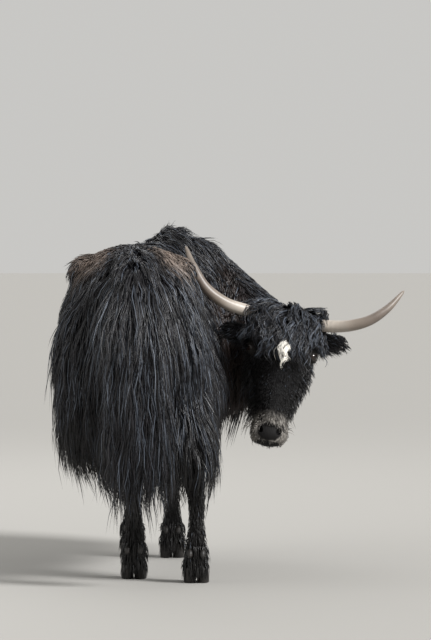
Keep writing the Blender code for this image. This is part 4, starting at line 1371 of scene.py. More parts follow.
@dataclass
class Skin:
    """The yak's one skin, from the nose to the dock and the coronets, under all of the coat.

    Attributes:
        name: The piece's name.
        body_grain: The grain of the body's surface.
        head_grain: The grain of the head's surface.
        body_depth: How far the body's skin lies inside the solids.
        head_depth: How far the head's skin does.
    """

    name: str = "skin"
    body_grain: float = 0.010
    head_grain: float = 0.0034
    body_depth: float = 0.005
    head_depth: float = 0.0012

    def trunk(self) -> bpy.types.Object:
        """The barrel from buttocks to chest, squarer over the croup and full at the belly."""
        sides, bottom_power, waist = 40, 2.3, 0.38
        rings = []
        for y, x, top, bottom, half, top_power in smooth_rows(TRUNK, 60):
            middle = bottom + waist * (top - bottom)
            ring = []
            for i in range(sides):
                angle = TAU * i / sides
                across, high = rounded(angle, top_power if math.sin(angle) > 0 else bottom_power)
                reach = top - middle if high > 0 else middle - bottom
                ring.append((x + half * across, y, middle + reach * high))
            rings.append(ring)
        return loft("trunk", rings)

    def bones(self) -> list[bpy.types.Object]:
        """The swellings of the skeleton that show: hooks, pin bones, shoulder blades and the hump."""
        pieces = [
            ball("hump", (0.084, 0.85, 1.03), (0.070, 0.19, 0.122)),
            ball("tail_head", (-0.023, -0.14, 1.025), (0.065, 0.10, 0.06)),
            ball("brisket", (0.07, 1.03, 0.62), (0.085, 0.12, 0.10)),
        ]
        for side in (-1, 1):
            pieces.append(ball("hook", (-0.038 + side * 0.142, 0.11, 1.022), (0.07, 0.12, 0.060)))
            pieces.append(ball("pin", (-0.024 + side * 0.075, -0.165, 0.945), (0.055, 0.07, 0.06)))
            pieces.append(ball("blade", (0.06 + side * 0.118, 0.86, 0.82), (0.07, 0.14, 0.22)))
        return pieces

    @staticmethod
    def limb(name: str, stations: Sequence, count: int = 40, sides: int = 20) -> bpy.types.Object:
        """A closed limb through level stations.

        Args:
            name: Its name.
            stations: Rows of x, y, z, half width and half depth.
            count: How many rings it has.
            sides: How many sides.

        Returns:
            The limb.
        """
        rings = []
        for x, y, z, wide, deep in smooth_rows(stations, count):
            turns = [TAU * i / sides for i in range(sides)]
            rings.append([(x + wide * math.cos(a), y + deep * math.sin(a), z) for a in turns])
        return loft(name, rings)

    def hind_leg(self, side: int, foot: Vector) -> bpy.types.Object:
        """A hind leg from hip to coronet, with the stifle forward and the hock back.

        Args:
            side: -1 for the left leg, 1 for the right.
            foot: Where it stands.

        Returns:
            The leg.
        """
        hip = -0.04 + side * 0.125
        stations = (
            (hip, -0.02, 0.90, 0.085, 0.150),
            (hip + side * 0.012, -0.01, 0.76, 0.105, 0.185),
            (hip + side * 0.010, foot.y * 0.5 + 0.02, 0.62, 0.092, 0.150),
            (foot.x * 0.5 + hip * 0.5, foot.y - 0.03, 0.50, 0.062, 0.092),
            (foot.x * 0.8 + hip * 0.2, foot.y - 0.075, 0.40, 0.043, 0.060),
            (foot.x, foot.y - 0.065, 0.29, 0.030, 0.040),
            (foot.x, foot.y - 0.050, 0.20, 0.028, 0.034),
            (foot.x, foot.y - 0.035, 0.125, 0.037, 0.043),
            (foot.x, foot.y - 0.012, 0.080, 0.034, 0.038),
            (foot.x, foot.y - 0.006, 0.040, 0.041, 0.044),
        )
        return self.limb("hind", stations)

    def foreleg(self, side: int, foot: Vector) -> bpy.types.Object:
        """A foreleg from shoulder to coronet.

        Args:
            side: -1 for the left leg, 1 for the right.
            foot: Where it stands.

        Returns:
            The leg.
        """
        shoulder = 0.06 + side * 0.115
        stations = (
            (shoulder, 0.92, 0.84, 0.065, 0.110),
            (shoulder + side * 0.005, 0.88, 0.68, 0.072, 0.110),
            (shoulder * 0.7 + foot.x * 0.3, 0.86, 0.55, 0.060, 0.080),
            (shoulder * 0.3 + foot.x * 0.7, foot.y - 0.015, 0.44, 0.045, 0.055),
            (foot.x, foot.y - 0.010, 0.335, 0.038, 0.043),
            (foot.x, foot.y - 0.018, 0.25, 0.029, 0.035),
            (foot.x, foot.y - 0.022, 0.18, 0.029, 0.034),
            (foot.x, foot.y - 0.022, 0.115, 0.037, 0.042),
            (foot.x, foot.y - 0.010, 0.075, 0.034, 0.038),
            (foot.x, foot.y - 0.004, 0.040, 0.041, 0.044),
        )
        return self.limb("fore", stations)

    def neck(self) -> bpy.types.Object:
        """The neck, which bends round to the right, deep at the shoulders and slim at the nape."""
        count, sides = 44, 28
        rows = smooth_rows(NECK, count)
        rings = []
        for i, row in enumerate(rows):
            ahead = Vector(rows[min(i + 1, count - 1)][:3])
            behind = Vector(rows[max(i - 1, 0)][:3])
            across = (ahead - behind).normalized().cross(Vector((0, 0, 1))).normalized()
            ring = []
            for k in range(sides):
                wide, high = rounded(TAU * k / sides, 2.3)
                ring.append(Vector(row[:3]) + across * row[3] * wide + Vector((0, 0, 1)) * row[4] * high)
            rings.append(ring)
        return loft("neck", rings)

    def body(self) -> bpy.types.Object:
        """Trunk, neck and legs as one soft form, cut off level above the hooves."""
        pieces = [self.trunk(), self.neck()] + self.bones()
        for name, foot in FEET.items():
            side = -1 if name.endswith("left") else 1
            pieces.append((self.hind_leg if name.startswith("hind") else self.foreleg)(side, foot))
        body = fused("body", pieces, self.body_grain, 14)
        modified(body, "DISPLACE", strength=-self.body_depth, mid_level=0.0)
        floor = block("sole", (0, 0, 0), (4.0, 4.0, 2 * CORONET_HEIGHT - 0.004), Matrix.Identity(4))
        return combined(body, [floor], "DIFFERENCE")

    def skull(self) -> bpy.types.Object:
        """The head from poll to muzzle: broad at the eyes, narrow at the nose."""
        sides, power, jaw_share = 40, 2.2, 0.74
        rings = []
        for z, half, front, back in smooth_rows(SKULL, 60):
            middle = front + 0.42 * (back - front)
            ring = []
            for i in range(sides):
                across, deep = rounded(TAU * i / sides, power)
                narrow = 1.0 - (1.0 - jaw_share) * max(0.0, deep) ** 1.5
                reach = back - middle if deep > 0 else middle - front
                ring.append(HEAD @ Vector((half * across * narrow, middle + reach * deep, z)))
            rings.append(ring)
        return loft("skull", rings)

    def face_forms(self) -> list[bpy.types.Object]:
        """Brows, orbits, cheeks, lips, nose pad and chin."""
        pieces = [
            ball("nose_pad", (0, 0.062, -0.402), (0.064, 0.046, 0.044), HEAD),
            ball("chin", (0, 0.113, -0.398), (0.040, 0.026, 0.042), HEAD),
            ball("poll", (0, 0.065, 0.010), (0.085, 0.060, 0.034), HEAD),
            ball("nose_bridge", (0, 0.030, -0.27), (0.036, 0.026, 0.12), HEAD),
        ]
        for side in (-1, 1):
            pieces += [
                ball("orbit", (side * 0.089, 0.043, -0.108), (0.031, 0.034, 0.043), HEAD),
                ball("cheek", (side * 0.056, 0.125, -0.165), (0.046, 0.078, 0.095), HEAD),
                ball("jowl", (side * 0.044, 0.150, -0.245), (0.030, 0.045, 0.070), HEAD),
                ball("lip", (side * 0.038, 0.078, -0.385), (0.026, 0.030, 0.052), HEAD),
                ball("horn_boss", (side * 0.088, 0.052, 0.0), (0.034, 0.036, 0.034), HEAD),
            ]
        return pieces

    def lids(self, side: Side) -> bpy.types.Object:
        """The upper and lower lid: a bowl of skin over the eye, open along the slit.

        Args:
            side: Which eye.

        Returns:
            The lids.
        """
        rings, across = 56, side.value
        # Each row is an angle past the slit's edge, or from the look if over 1, and a share of the radius.
        section = (
            (0.10, 0.92), (0.0, 1.00), (-0.03, 1.06), (0.03, 1.12), (0.14, 1.15), (0.30, 1.13), (1.25, 1.12),
            (1.60, 1.02), (1.60, 0.92),
        )
        points = []
        for i in range(rings):
            angle = TAU * i / rings
            along, up = math.cos(angle), math.sin(angle)
            # The upper lid is the more open and the thicker one.
            edge = 1.0 / math.hypot(along / 0.98, up / (0.62 if up > 0 else 0.50))
            for turn, share in section:
                off = turn if turn > 1 else edge + turn
                thick = share + (0.035 * up if up > 0 and share > 1.05 else 0.0)
                ray = Vector((math.cos(off) * across, math.sin(off) * along, math.sin(off) * up))
                points.append(ray * EYE_RADIUS * thick)
        sides = len(section)
        faces = []
        for i in range(rings):
            for k in range(sides):
                a, b = i * sides + k, i * sides + (k + 1) % sides
                c, d = (i + 1) % rings * sides + (k + 1) % sides, (i + 1) % rings * sides + k
                faces.append((a, b, c, d))
        ring = mesh_object("lids", points, faces)
        look = Matrix.Rotation(math.radians(-EYE_TURN * across), 4, "Z")
        look = look @ Matrix.Rotation(math.radians(8 * across), 4, "Y")
        place = Matrix.Translation((across * EYE_PLACE.x, EYE_PLACE.y, EYE_PLACE.z))
        ring.data.transform(HEAD @ place @ look)
        return ring

    def ear(self, side: Side) -> bpy.types.Object:
        """A leaf-shaped ear whose cup faces forward and down.

        Args:
            side: Which ear.

        Returns:
            The ear.
        """
        root, tip = (Vector((side.value * x, y, z)) for x, y, z in (EAR_ROOT, EAR_TIPS[side.word]))
        along = (tip - root).normalized()
        cup = (Vector((0, -1, -0.35)) - along * along.dot(Vector((0, -1, -0.35)))).normalized()
        matrix = Matrix((along, along.cross(cup), cup)).transposed().to_4x4()
        matrix.translation = root + along * EAR_LENGTH * 0.42
        outer = ball("ear", (0, 0, 0), (EAR_LENGTH * 0.555, 0.030, 0.018), HEAD @ matrix, 40, 28)
        hollow = ball("cup", (0.012, 0, 0.013), (EAR_LENGTH * 0.45, 0.0245, 0.0185), HEAD @ matrix, 36, 24)
        return combined(outer, [hollow], "DIFFERENCE")

    def carvers(self) -> list[bpy.types.Object]:
        """What the sockets, the nostrils and the mouth are carved with."""
        height, open_by = 0.115, 0.0032
        tools = [block("mouth_end", (0, MOUTH_DEPTH, -HEAD_LENGTH - 0.002), (0.088, open_by, 0.036), HEAD)]
        for side in (-1, 1):
            place = (side * 0.064, MOUTH_DEPTH, -HEAD_LENGTH + height / 2)
            tools.append(block("mouth_side", place, (0.044, open_by, height), HEAD))
            nose = Matrix.Translation((side * NOSTRIL_PLACE.x, NOSTRIL_PLACE.y, NOSTRIL_PLACE.z))
            turn = HEAD @ nose @ Matrix.Rotation(math.radians(side * 28), 4, "Y")
            tools.append(ball("nostril", (0, 0, 0), (0.0100, 0.024, 0.0155), turn, 28, 20))
            tools.append(ball("comma", (side * 0.0125, 0, 0.0105), (0.0085, 0.017, 0.0075), turn, 24, 16))
            eye = (side * EYE_PLACE.x, EYE_PLACE.y, EYE_PLACE.z)
            tools.append(ball("socket", eye, (EYE_RADIUS + 0.0004,) * 3, HEAD, 40, 28))
        return tools

    def head(self) -> bpy.types.Object:
        """The bare head with its lids and ears, carved."""
        head = fused("head", [self.skull()] + self.face_forms(), self.head_grain, 4)
        modified(head, "DISPLACE", strength=-self.head_depth, mid_level=0.0)
        combined(head, [self.ear(side) for side in Side], "UNION")
        modified(head, "REMESH", mode="VOXEL", voxel_size=self.head_grain * 0.9)
        modified(head, "SMOOTH", factor=0.5, iterations=2)
        combined(head, [self.lids(side) for side in Side], "UNION")
        return combined(head, self.carvers(), "DIFFERENCE")

    def dock(self) -> bpy.types.Object:
        """The dock of the tail."""
        return self.limb("dock", DOCK, 30, 20)

    def build(self) -> bpy.types.Object:
        """Joins the forms into one closed skin and unwraps it.

        Returns:
            The skin, still round the middle of the hind feet.
        """
        skin = combined(self.body(), [self.head(), self.dock()], "UNION")
        skin.name = skin.data.name = self.name
        modified(skin, "TRIANGULATE", quad_method="BEAUTY", ngon_method="BEAUTY")
        take(skin)
        bpy.ops.object.mode_set(mode="EDIT")
        bpy.ops.mesh.select_all(action="SELECT")
        bpy.ops.uv.smart_project(angle_limit=1.15, island_margin=0.001)
        bpy.ops.object.mode_set(mode="OBJECT")
        skin.data.shade_smooth()
        return skin

    def dress(self, skin: bpy.types.Object, surface: Surface) -> bpy.types.Object:
        """Colours the skin as its coat is and lets it replace the nodes of flesh.

        Args:
            skin: The skin.
            surface: The same skin as arrays.

        Returns:
            The finished piece.
        """
        colours = Markings.colour(surface.points, surface.normals)
        colours *= np.where(colours.mean(1, keepdims=True) < 0.05, 0.45, 0.9)
        coloured(skin, "tint", colours)
        flesh = ["hindquarters", "barrel", "shoulders", "neck_base", "neck", "head", "tail"]
        flesh += [f"ear_{side.word}" for side in Side] + [f"leg_{name}" for name in FEET]
        finish = HideFinish("yak_hide_under_coat", 0.75, 1.33, hair_mm=5.0).build()
        return settled(skin, finish, Slot.COAT, flesh)


def sideways(points: np.ndarray) -> np.ndarray:
    """How far each point of the trunk lies to the right of its middle line."""
    table = [(row[0], row[1]) for row in TRUNK]
    return points[:, 0] - interp(table, points[:, 1])


def vectors(x: np.ndarray | float, y: np.ndarray | float, z: np.ndarray | float) -> np.ndarray:
    """Stacks three coordinates, any of which may be one number."""
    return np.stack(np.broadcast_arrays(x, y, z), axis=-1).astype(float)


FLANK_DEPTH = (
    (0.30, 0.050), (0.45, 0.070), (0.58, 0.072), (0.66, 0.052), (0.71, 0.028), (0.80, 0.019), (1.0, 0.012),
)
FLANK_LENGTH = (
    (0.45, 0.22), (0.55, 0.28), (0.66, 0.31), (0.73, 0.19), (0.80, 0.12), (0.90, 0.09), (1.0, 0.07), (1.1, 0.05),
)
REAR_LENGTH = (
    (0.50, 0.22), (0.60, 0.28), (0.70, 0.30), (0.80, 0.28), (0.90, 0.21), (1.0, 0.12), (1.1, 0.06),
)
REAR_DEPTH = ((0.40, 0.05), (0.70, 0.045), (0.80, 0.03), (1.0, 0.018), (1.1, 0.012))


class Body:
    """The growths of the trunk, neck, legs and tail."""

    @staticmethod
    def flank(side: int) -> Growth:
        """One side: flat hair above and the long skirt below.

        Args:
            side: -1 for the left side, 1 for the right.

        Returns:
            Its growth.
        """

        def where(points: np.ndarray, normals: np.ndarray) -> np.ndarray:
            out = blend_step(0.0, 0.4, normals[:, 0] * side)
            chest = blend_step(0.1, 0.4, normals[:, 1]) * blend_step(-0.25, -0.05, normals[:, 0] * side)
            out = np.maximum(out, chest * (points[:, 1] > 0.45)) * blend_step(-0.75, -0.4, normals[:, 2])
            high = blend_step(0.95, 0.55, normals[:, 2])
            return Region.trunk(points) * out * high * blend_step(-0.2, -0.1, points[:, 1])

        def depth(points: np.ndarray, normals: np.ndarray) -> np.ndarray:
            hollow = np.exp(-(((points[:, 1] - HOLLOW_Y) / 0.05) ** 2)) * blend_step(0.5, 0.6, points[:, 2])
            thigh = blend_step(0.16, 0.04, points[:, 1]) * blend_step(0.58, 0.68, points[:, 2]) * (side < 0)
            room = interp(FLANK_DEPTH, points[:, 2]) * (0.62 if side < 0 else 1.0)
            room *= 1.0 - 0.6 * blend_step(0.0, 0.5, normals[:, 1]) * (points[:, 1] > 0.45)
            return room * (1.0 - 0.85 * hollow) * (1.0 - 0.8 * thigh)

        def length(points: np.ndarray, normals: np.ndarray) -> np.ndarray:
            long = interp(FLANK_LENGTH, points[:, 2]) * Body.short(points)
            over = points[:, 2] - CREASE_Z - 0.012 * Markings.noise(points, 0.15, 4.0)
            ends = (side < 0) & (over > 0) & (points[:, 1] > -0.02) & (points[:, 1] < 0.55)
            return np.where(ends, np.minimum(long, over * 0.95 + 0.022), long)

        return Growth(
            name="coat_side_" + ("left" if side < 0 else "right"), slot=Slot.COAT, tufts=5100, locks=760, rows=6,
            width=0.0040, lift=0.24, droop=0.35, curl=0.0060, wave=0.19, gather=0.42, spread=0.09,
            streaks=0.12, seed=50 + side, where=where,
            length=length,
            lie=lambda p, n: vectors(0.15 * side, -0.22, -1.0) + n * 0.0, depth=depth,
        )

    @staticmethod
    def rump() -> Growth:
        """The coat of the rear, which parts from the tail head."""

        def where(points: np.ndarray, normals: np.ndarray) -> np.ndarray:
            rear = blend_step(0.05, -0.35, normals[:, 1]) * blend_step(0.10, -0.05, points[:, 1])
            return Region.trunk(points) * rear * blend_step(0.95, 0.6, normals[:, 2])

        def lie(points: np.ndarray, normals: np.ndarray) -> np.ndarray:
            return vectors((points[:, 0] + 0.023) * 1.3, -0.25, -1.0)

        return Growth(
            name="coat_rump", slot=Slot.COAT, tufts=5500, locks=760, rows=6, width=0.0040, lift=0.24, droop=0.38,
            curl=0.0060, wave=0.19, gather=0.42, spread=0.10, streaks=0.14, seed=53, where=where,
            length=lambda p, n: interp(REAR_LENGTH, p[:, 2]), lie=lie,
            depth=lambda p, n: interp(REAR_DEPTH, p[:, 2]),
        )

    @staticmethod
    def belly() -> Growth:
        """The fringe under the belly, inside the skirt."""

        def where(points: np.ndarray, normals: np.ndarray) -> np.ndarray:
            return Region.trunk(points) * blend_step(-0.25, -0.6, normals[:, 2]) * (points[:, 2] < 0.8)

        return Growth(
            name="coat_belly", slot=Slot.COAT, tufts=2000, locks=340, rows=5, width=0.0062, lift=0.9, droop=0.55,
            curl=0.004, wave=0.09, gather=0.5, spread=0.2, streaks=0.03, seed=54, where=where,
            length=lambda p, n: 0.20 + 0.03 * np.sin(p[:, 1] * 31.0),
            lie=lambda p, n: vectors(0.0, -0.6, -0.3) + n * 0.0, depth=lambda p, n: np.full(len(p), 0.01),
        )

    @staticmethod
    def short(points: np.ndarray) -> np.ndarray:
        """The share of its length that the hair keeps at the right hip, which stands clear of the horn."""
        edge = blend_step(0.075, 0.105, points[:, 0]) * blend_step(0.34, 0.26, points[:, 1])
        return 1.0 - 0.55 * edge * blend_step(0.90, 0.97, points[:, 2])

    @classmethod
    def back(cls) -> Growth:
        """The flat, matted coat along the back and croup."""

        def where(points: np.ndarray, normals: np.ndarray) -> np.ndarray:
            ridge = np.hypot((points[:, 0] + 0.023) / 0.05, (points[:, 1] + 0.16) / 0.15)
            rear = 1.0 + 1.2 * blend_step(0.35, 0.05, points[:, 1])
            return Region.trunk(points) * blend_step(0.25, 0.6, normals[:, 2]) * blend_step(0.7, 1.0, ridge) * rear

        def lie(points: np.ndarray, normals: np.ndarray) -> np.ndarray:
            return vectors(sideways(points) * 4.0, -0.8, -0.2)

        return Growth(
            name="coat_back", slot=Slot.COAT, tufts=5600, locks=1000, rows=5, width=0.0042, lift=0.26, droop=0.14,
            curl=0.003, wave=0.04, gather=0.5, spread=0.22, streaks=0.05, seed=55, where=where,
            length=lambda p, n: (0.058 + 0.012 * Markings.noise(p, 0.12, 1.0)) * cls.short(p), lie=lie,
            depth=lambda p, n: np.full(len(p), 0.008), matt=True,
        )

    @staticmethod
    def hump() -> Growth:
        """The standing hair on top of the hump."""

        def where(points: np.ndarray, normals: np.ndarray) -> np.ndarray:
            top = blend_step(0.64, 0.74, points[:, 1]) * blend_step(1.0, 1.06, points[:, 2])
            return Region.trunk(points) * top

        def lie(points: np.ndarray, normals: np.ndarray) -> np.ndarray:
            return vectors(0.45 + sideways(points) * 9.0, -0.25, 0.0) + normals * 0.0

        return Growth(
            name="coat_hump", slot=Slot.COAT, tufts=2600, locks=420, rows=6, width=0.0036, lift=0.30, droop=0.22,
            curl=0.003, wave=0.09, gather=0.42, spread=0.16, streaks=0.14, seed=63, where=where,
            length=lambda p, n: np.full(len(p), 0.115), lie=lie, depth=lambda p, n: np.full(len(p), 0.018),
        )

    @staticmethod
    def crest() -> Growth:
        """The crest that stands along the top of the neck."""

        def where(points: np.ndarray, normals: np.ndarray) -> np.ndarray:
            return Region.neck(points) * blend_step(0.45, 0.8, normals[:, 2])

        def lie(points: np.ndarray, normals: np.ndarray) -> np.ndarray:
            return normals * (1, 1, 0) * 1.2 + vectors(0.75, 0.1, 0.0)

        return Growth(
            name="coat_crest", slot=Slot.COAT, tufts=2300, locks=340, rows=6, width=0.0036, lift=0.36, droop=0.20,
            curl=0.003, wave=0.09, gather=0.42, spread=0.16, streaks=0.14, seed=56, where=where,
            length=lambda p, n: 0.085 - 0.035 * blend_step(0.15, 0.28, p[:, 0]), lie=lie,
            depth=lambda p, n: 0.018 - 0.012 * blend_step(0.15, 0.28, p[:, 0]), clear=0.026,
        )

    @staticmethod
    def neck() -> Growth:
        """The neck's sides, short where the head is turned to, and the fringe of the throat."""

        def where(points: np.ndarray, normals: np.ndarray) -> np.ndarray:
            near = 1.0 + 1.2 * blend_step(0.1, -0.4, normals[:, 1]) * blend_step(0.55, 0.7, points[:, 2])
            return Region.neck(points) * blend_step(0.75, 0.45, normals[:, 2]) * near

        def length(points: np.ndarray, normals: np.ndarray) -> np.ndarray:
            under = blend_step(-0.1, -0.6, normals[:, 2]) + blend_step(0.70, 0.58, points[:, 2])
            outer = blend_step(0.0, 0.5, normals[:, 1])
            return 0.042 + 0.10 * np.clip(under, 0, 1) + 0.06 * outer

        return Growth(
            name="coat_neck", slot=Slot.COAT, tufts=4500, locks=800, rows=5, width=0.0040, lift=0.20, droop=0.25,
            curl=0.002, wave=0.06, gather=0.45, spread=0.14, streaks=0.07, seed=57, where=where, length=length,
            lie=lambda p, n: vectors(-0.35, 0.05, -1.0) + n * 0.0, depth=lambda p, n: np.full(len(p), 0.010), clear=0.026,
        )

    @staticmethod
    def legs() -> Growth:
        """The legs' hair, short in front, feathered behind and long round the pasterns."""

        def length(points: np.ndarray, normals: np.ndarray) -> np.ndarray:
            long = interp(((0.12, 0.030), (0.20, 0.020), (0.40, 0.05)), points[:, 2])
            return long * (1.0 + 0.5 * blend_step(0.2, -0.7, normals[:, 1]))

        return Growth(
            name="coat_legs", slot=Slot.LEG, tufts=4700, locks=1400, rows=4, width=0.0034, lift=0.20, droop=0.25,
            curl=0.001, wave=0.03, gather=0.35, spread=0.08, streaks=0.04, seed=58,
            where=lambda p, n: Region.leg(p) * (p[:, 2] > 0.11), length=length,
            lie=lambda p, n: vectors(0.0, -0.1, -1.0) + n * 0.0, depth=lambda p, n: np.full(len(p), 0.005),
            tuck=0.05, matt=True,
        )

    @staticmethod
    def pasterns() -> Growth:
        """The longer hair round fetlock and pastern, which hangs over the claws."""
        return Growth(
            name="coat_pasterns", slot=Slot.LEG, tufts=2300, locks=420, rows=5, width=0.0034, lift=0.50, droop=0.30,
            curl=0.001, wave=0.04, gather=0.25, spread=0.08, streaks=0.03, seed=67,
            where=lambda p, n: Region.leg(p) * (p[:, 2] < 0.135) * (n[:, 2] > -0.8) * (2.0 - (p[:, 2] > 0.08)),
            length=lambda p, n: interp(((0.05, 0.052), (0.075, 0.058), (0.13, 0.045)), p[:, 2]),
            lie=lambda p, n: vectors(0.0, -0.1, -1.0) + n * 0.0,
            depth=lambda p, n: np.full(len(p), 0.017), tuck=0.05,
        )

    @staticmethod
    def tail() -> Growth:
        """The tail's long fan, which starts on the croup and hangs over the rump."""

        def where(points: np.ndarray, normals: np.ndarray) -> np.ndarray:
            head = np.hypot((points[:, 0] + 0.023) / 0.050, (points[:, 1] + 0.20) / 0.085)
            start = blend_step(1.0, 0.8, head) * (points[:, 2] > 0.97)
            facing = blend_step(0.5, 0.2, normals[:, 1]) * blend_step(-0.6, -0.2, normals[:, 2])
            return np.maximum(Region.dock(points), start) * facing

        def lie(points: np.ndarray, normals: np.ndarray) -> np.ndarray:
            middle = interp([(row[2], row[0]) for row in reversed(DOCK)], points[:, 2])
            half = interp([(row[2], row[3]) for row in reversed(DOCK)], points[:, 2])
            share = np.clip((points[:, 0] - middle) / half, -1.2, 1.2)
            return vectors(share * 0.32 + 0.03, 0.02 - 0.8 * np.maximum(normals[:, 2], 0.0), -1.0)

        def length(points: np.ndarray, normals: np.ndarray) -> np.ndarray:
            return interp(((0.55, 0.34), (0.70, 0.42), (0.90, 0.45), (1.05, 0.42)), points[:, 2])

        return Growth(
            name="coat_tail", slot=Slot.TAIL, tufts=4000, locks=460, rows=8, width=0.0042, lift=0.08, droop=0.24,
            curl=0.0085, wave=0.20, gather=0.45, spread=0.06, streaks=0.18, seed=59, where=where, length=length,
            lie=lie, depth=lambda p, n: np.full(len(p), 0.026), tuck=0.0,
        )

    @staticmethod
    def tail_head() -> Growth:
        """The ridge of hair that stands over the tail head and falls back on the tail."""

        def where(points: np.ndarray, normals: np.ndarray) -> np.ndarray:
            near = np.hypot((points[:, 0] + 0.023) / 0.044, (points[:, 1] + 0.165) / 0.150)
            body = np.maximum(Region.trunk(points), Region.dock(points))
            return body * blend_step(1.0, 0.7, near) * (points[:, 2] > 0.96) * blend_step(-0.2, 0.1, normals[:, 2])

        return Growth(
            name="coat_tail_head", slot=Slot.TAIL, tufts=1700, locks=170, rows=7, width=0.0040, lift=0.80,
            droop=0.30, curl=0.003, wave=0.09, gather=0.4, spread=0.22, streaks=0.08, seed=64, where=where,
            length=lambda p, n: np.full(len(p), 0.15),
            lie=lambda p, n: vectors((p[:, 0] + 0.023) * 5.0, -1.0, 0.0),
            depth=lambda p, n: np.full(len(p), 0.035),
        )


class Head:
    """The growths of the head."""

    @staticmethod
    def turned(local: np.ndarray) -> np.ndarray:
        """Turns ways of the head's frame into the yak's own."""
        return local @ HEAD_TURN.T

    @staticmethod
    def off_eyes(local: np.ndarray) -> np.ndarray:
        """How far points of the head's frame lie from the nearer eye."""
        mirrored = np.abs(local[:, :1])
        return np.linalg.norm(np.concatenate([mirrored, local[:, 1:]], axis=1) - np.array(EYE_PLACE), axis=1)

    @classmethod
    def forelock(cls) -> Growth:
        """The curls between the horns, which fall over the forehead."""

        def where(points: np.ndarray, normals: np.ndarray) -> np.ndarray:
            local = in_head(points)
            wide = blend_step(0.128, 0.108, np.abs(local[:, 0]))
            high = blend_step(-0.075, -0.045, local[:, 2]) * blend_step(0.034, 0.050, cls.off_eyes(local))
            return Region.head(points) * (1 - Region.ear(points)) * wide * high * (local[:, 1] < 0.078)

        def lie(points: np.ndarray, normals: np.ndarray) -> np.ndarray:
            local = in_head(points)
            return cls.turned(vectors(local[:, 0] * 9.0, -0.55, -1.0))

        def length(points: np.ndarray, normals: np.ndarray) -> np.ndarray:
            across = np.abs(in_head(points)[:, 0])
            return 0.125 - 0.035 * blend_step(0.055, 0.10, across) + 0.015 * Markings.noise(points, 0.08, 2.0)

        # The many pale tufts of the forelock are painted highlights on its curls.
        return Growth(
            name="coat_forelock", slot=Slot.COAT, tufts=2200, locks=150, rows=11, width=0.0040, lift=0.62,
            droop=0.19, curl=0.0135, wave=0.090, gather=0.80, spread=0.18, streaks=0.30, seed=60, where=where,
            length=length, lie=lie, depth=lambda p, n: np.full(len(p), 0.030), clear=0.0245,
        )

    @classmethod
    def blaze(cls) -> Growth:
        """The white curl of the forehead."""

        def where(points: np.ndarray, normals: np.ndarray) -> np.ndarray:
            local = in_head(points)
            near = np.hypot(local[:, 0] / 0.014, (local[:, 2] + 0.082) / 0.016)
            return Region.head(points) * blend_step(1.0, 0.85, near) * (local[:, 1] < 0.05)

        return Growth(
            name="coat_blaze", slot=Slot.COAT, tufts=200, locks=4, rows=10, width=0.0024, lift=0.8,
            droop=0.12, curl=0.010, wave=0.070, gather=0.85, spread=0.08, streaks=0.0, seed=65, where=where,
            length=lambda p, n: np.full(len(p), 0.078),
            lie=lambda p, n: cls.turned(vectors(0.1, -0.5, -1.0) + n * 0.0),
            depth=lambda p, n: np.full(len(p), 0.040),
        )

    @classmethod
    def face(cls) -> Growth:
        """The short hair of the face and muzzle."""

        def where(points: np.ndarray, normals: np.ndarray) -> np.ndarray:
            local = in_head(points)
            clear = blend_step(0.0245, 0.029, cls.off_eyes(local))
            pad = np.hypot(local[:, 0] / 0.040, (local[:, 2] + 0.400) / 0.028)
            bare = (local[:, 1] < 0.062) * blend_step(1.1, 0.9, pad)
            low = blend_step(-0.437, -0.425, local[:, 2])
            return Region.head(points) * (1 - Region.ear(points)) * clear * (1 - bare) * low

        def lie(points: np.ndarray, normals: np.ndarray) -> np.ndarray:
            local = in_head(points)
            return cls.turned(vectors(local[:, 0] * 4.0, 0.45, -1.0))

        return Growth(
            name="coat_face", slot=Slot.COAT, tufts=9800, locks=3000, rows=3, width=0.0022, lift=0.22,
            droop=0.02, curl=0.0004, wave=0.02, gather=0.3, spread=0.08, streaks=0.03, seed=61, where=where,
            length=lambda p, n: np.full(len(p), 0.015), lie=lie, depth=lambda p, n: np.full(len(p), 0.0025), matt=True, clear=0.0195,
        )

    @classmethod
    def cheeks(cls) -> Growth:
        """The longer hair behind the eyes, over the cheeks and under the jaw."""

        def where(points: np.ndarray, normals: np.ndarray) -> np.ndarray:
            local = in_head(points)
            back = blend_step(0.045, 0.085, local[:, 1]) * blend_step(-0.40, -0.30, local[:, 2])
            clear = blend_step(0.036, 0.050, cls.off_eyes(local))
            return Region.head(points) * (1 - Region.ear(points)) * back * clear

        def lie(points: np.ndarray, normals: np.ndarray) -> np.ndarray:
            local = in_head(points)
            return cls.turned(vectors(local[:, 0] * 3.0, 0.35, -1.0))

        def length(points: np.ndarray, normals: np.ndarray) -> np.ndarray:
            outer = blend_step(-0.02, 0.04, in_head(points)[:, 0])
            return 0.058 - 0.024 * outer + 0.010 * Markings.noise(points, 0.07, 3.0)

        return Growth(
            name="coat_cheeks", slot=Slot.COAT, tufts=2900, locks=520, rows=5, width=0.0032, lift=0.60,
            droop=0.12, curl=0.005, wave=0.06, gather=0.5, spread=0.25, streaks=0.08, seed=66, where=where,
            length=length, lie=lie,
            depth=lambda p, n: np.full(len(p), 0.020), clear=0.0245,
        )

    @classmethod
    def ears(cls) -> Growth:
        """The ears' hair with the fringe along their lower edges."""

        def length(points: np.ndarray, normals: np.ndarray) -> np.ndarray:
            under = blend_step(0.1, -0.6, normals[:, 2])
            return 0.016 + 0.026 * under

        def lie(points: np.ndarray, normals: np.ndarray) -> np.ndarray:
            local = in_head(points)
            return cls.turned(vectors(np.sign(local[:, 0]), 0.0, -0.35))

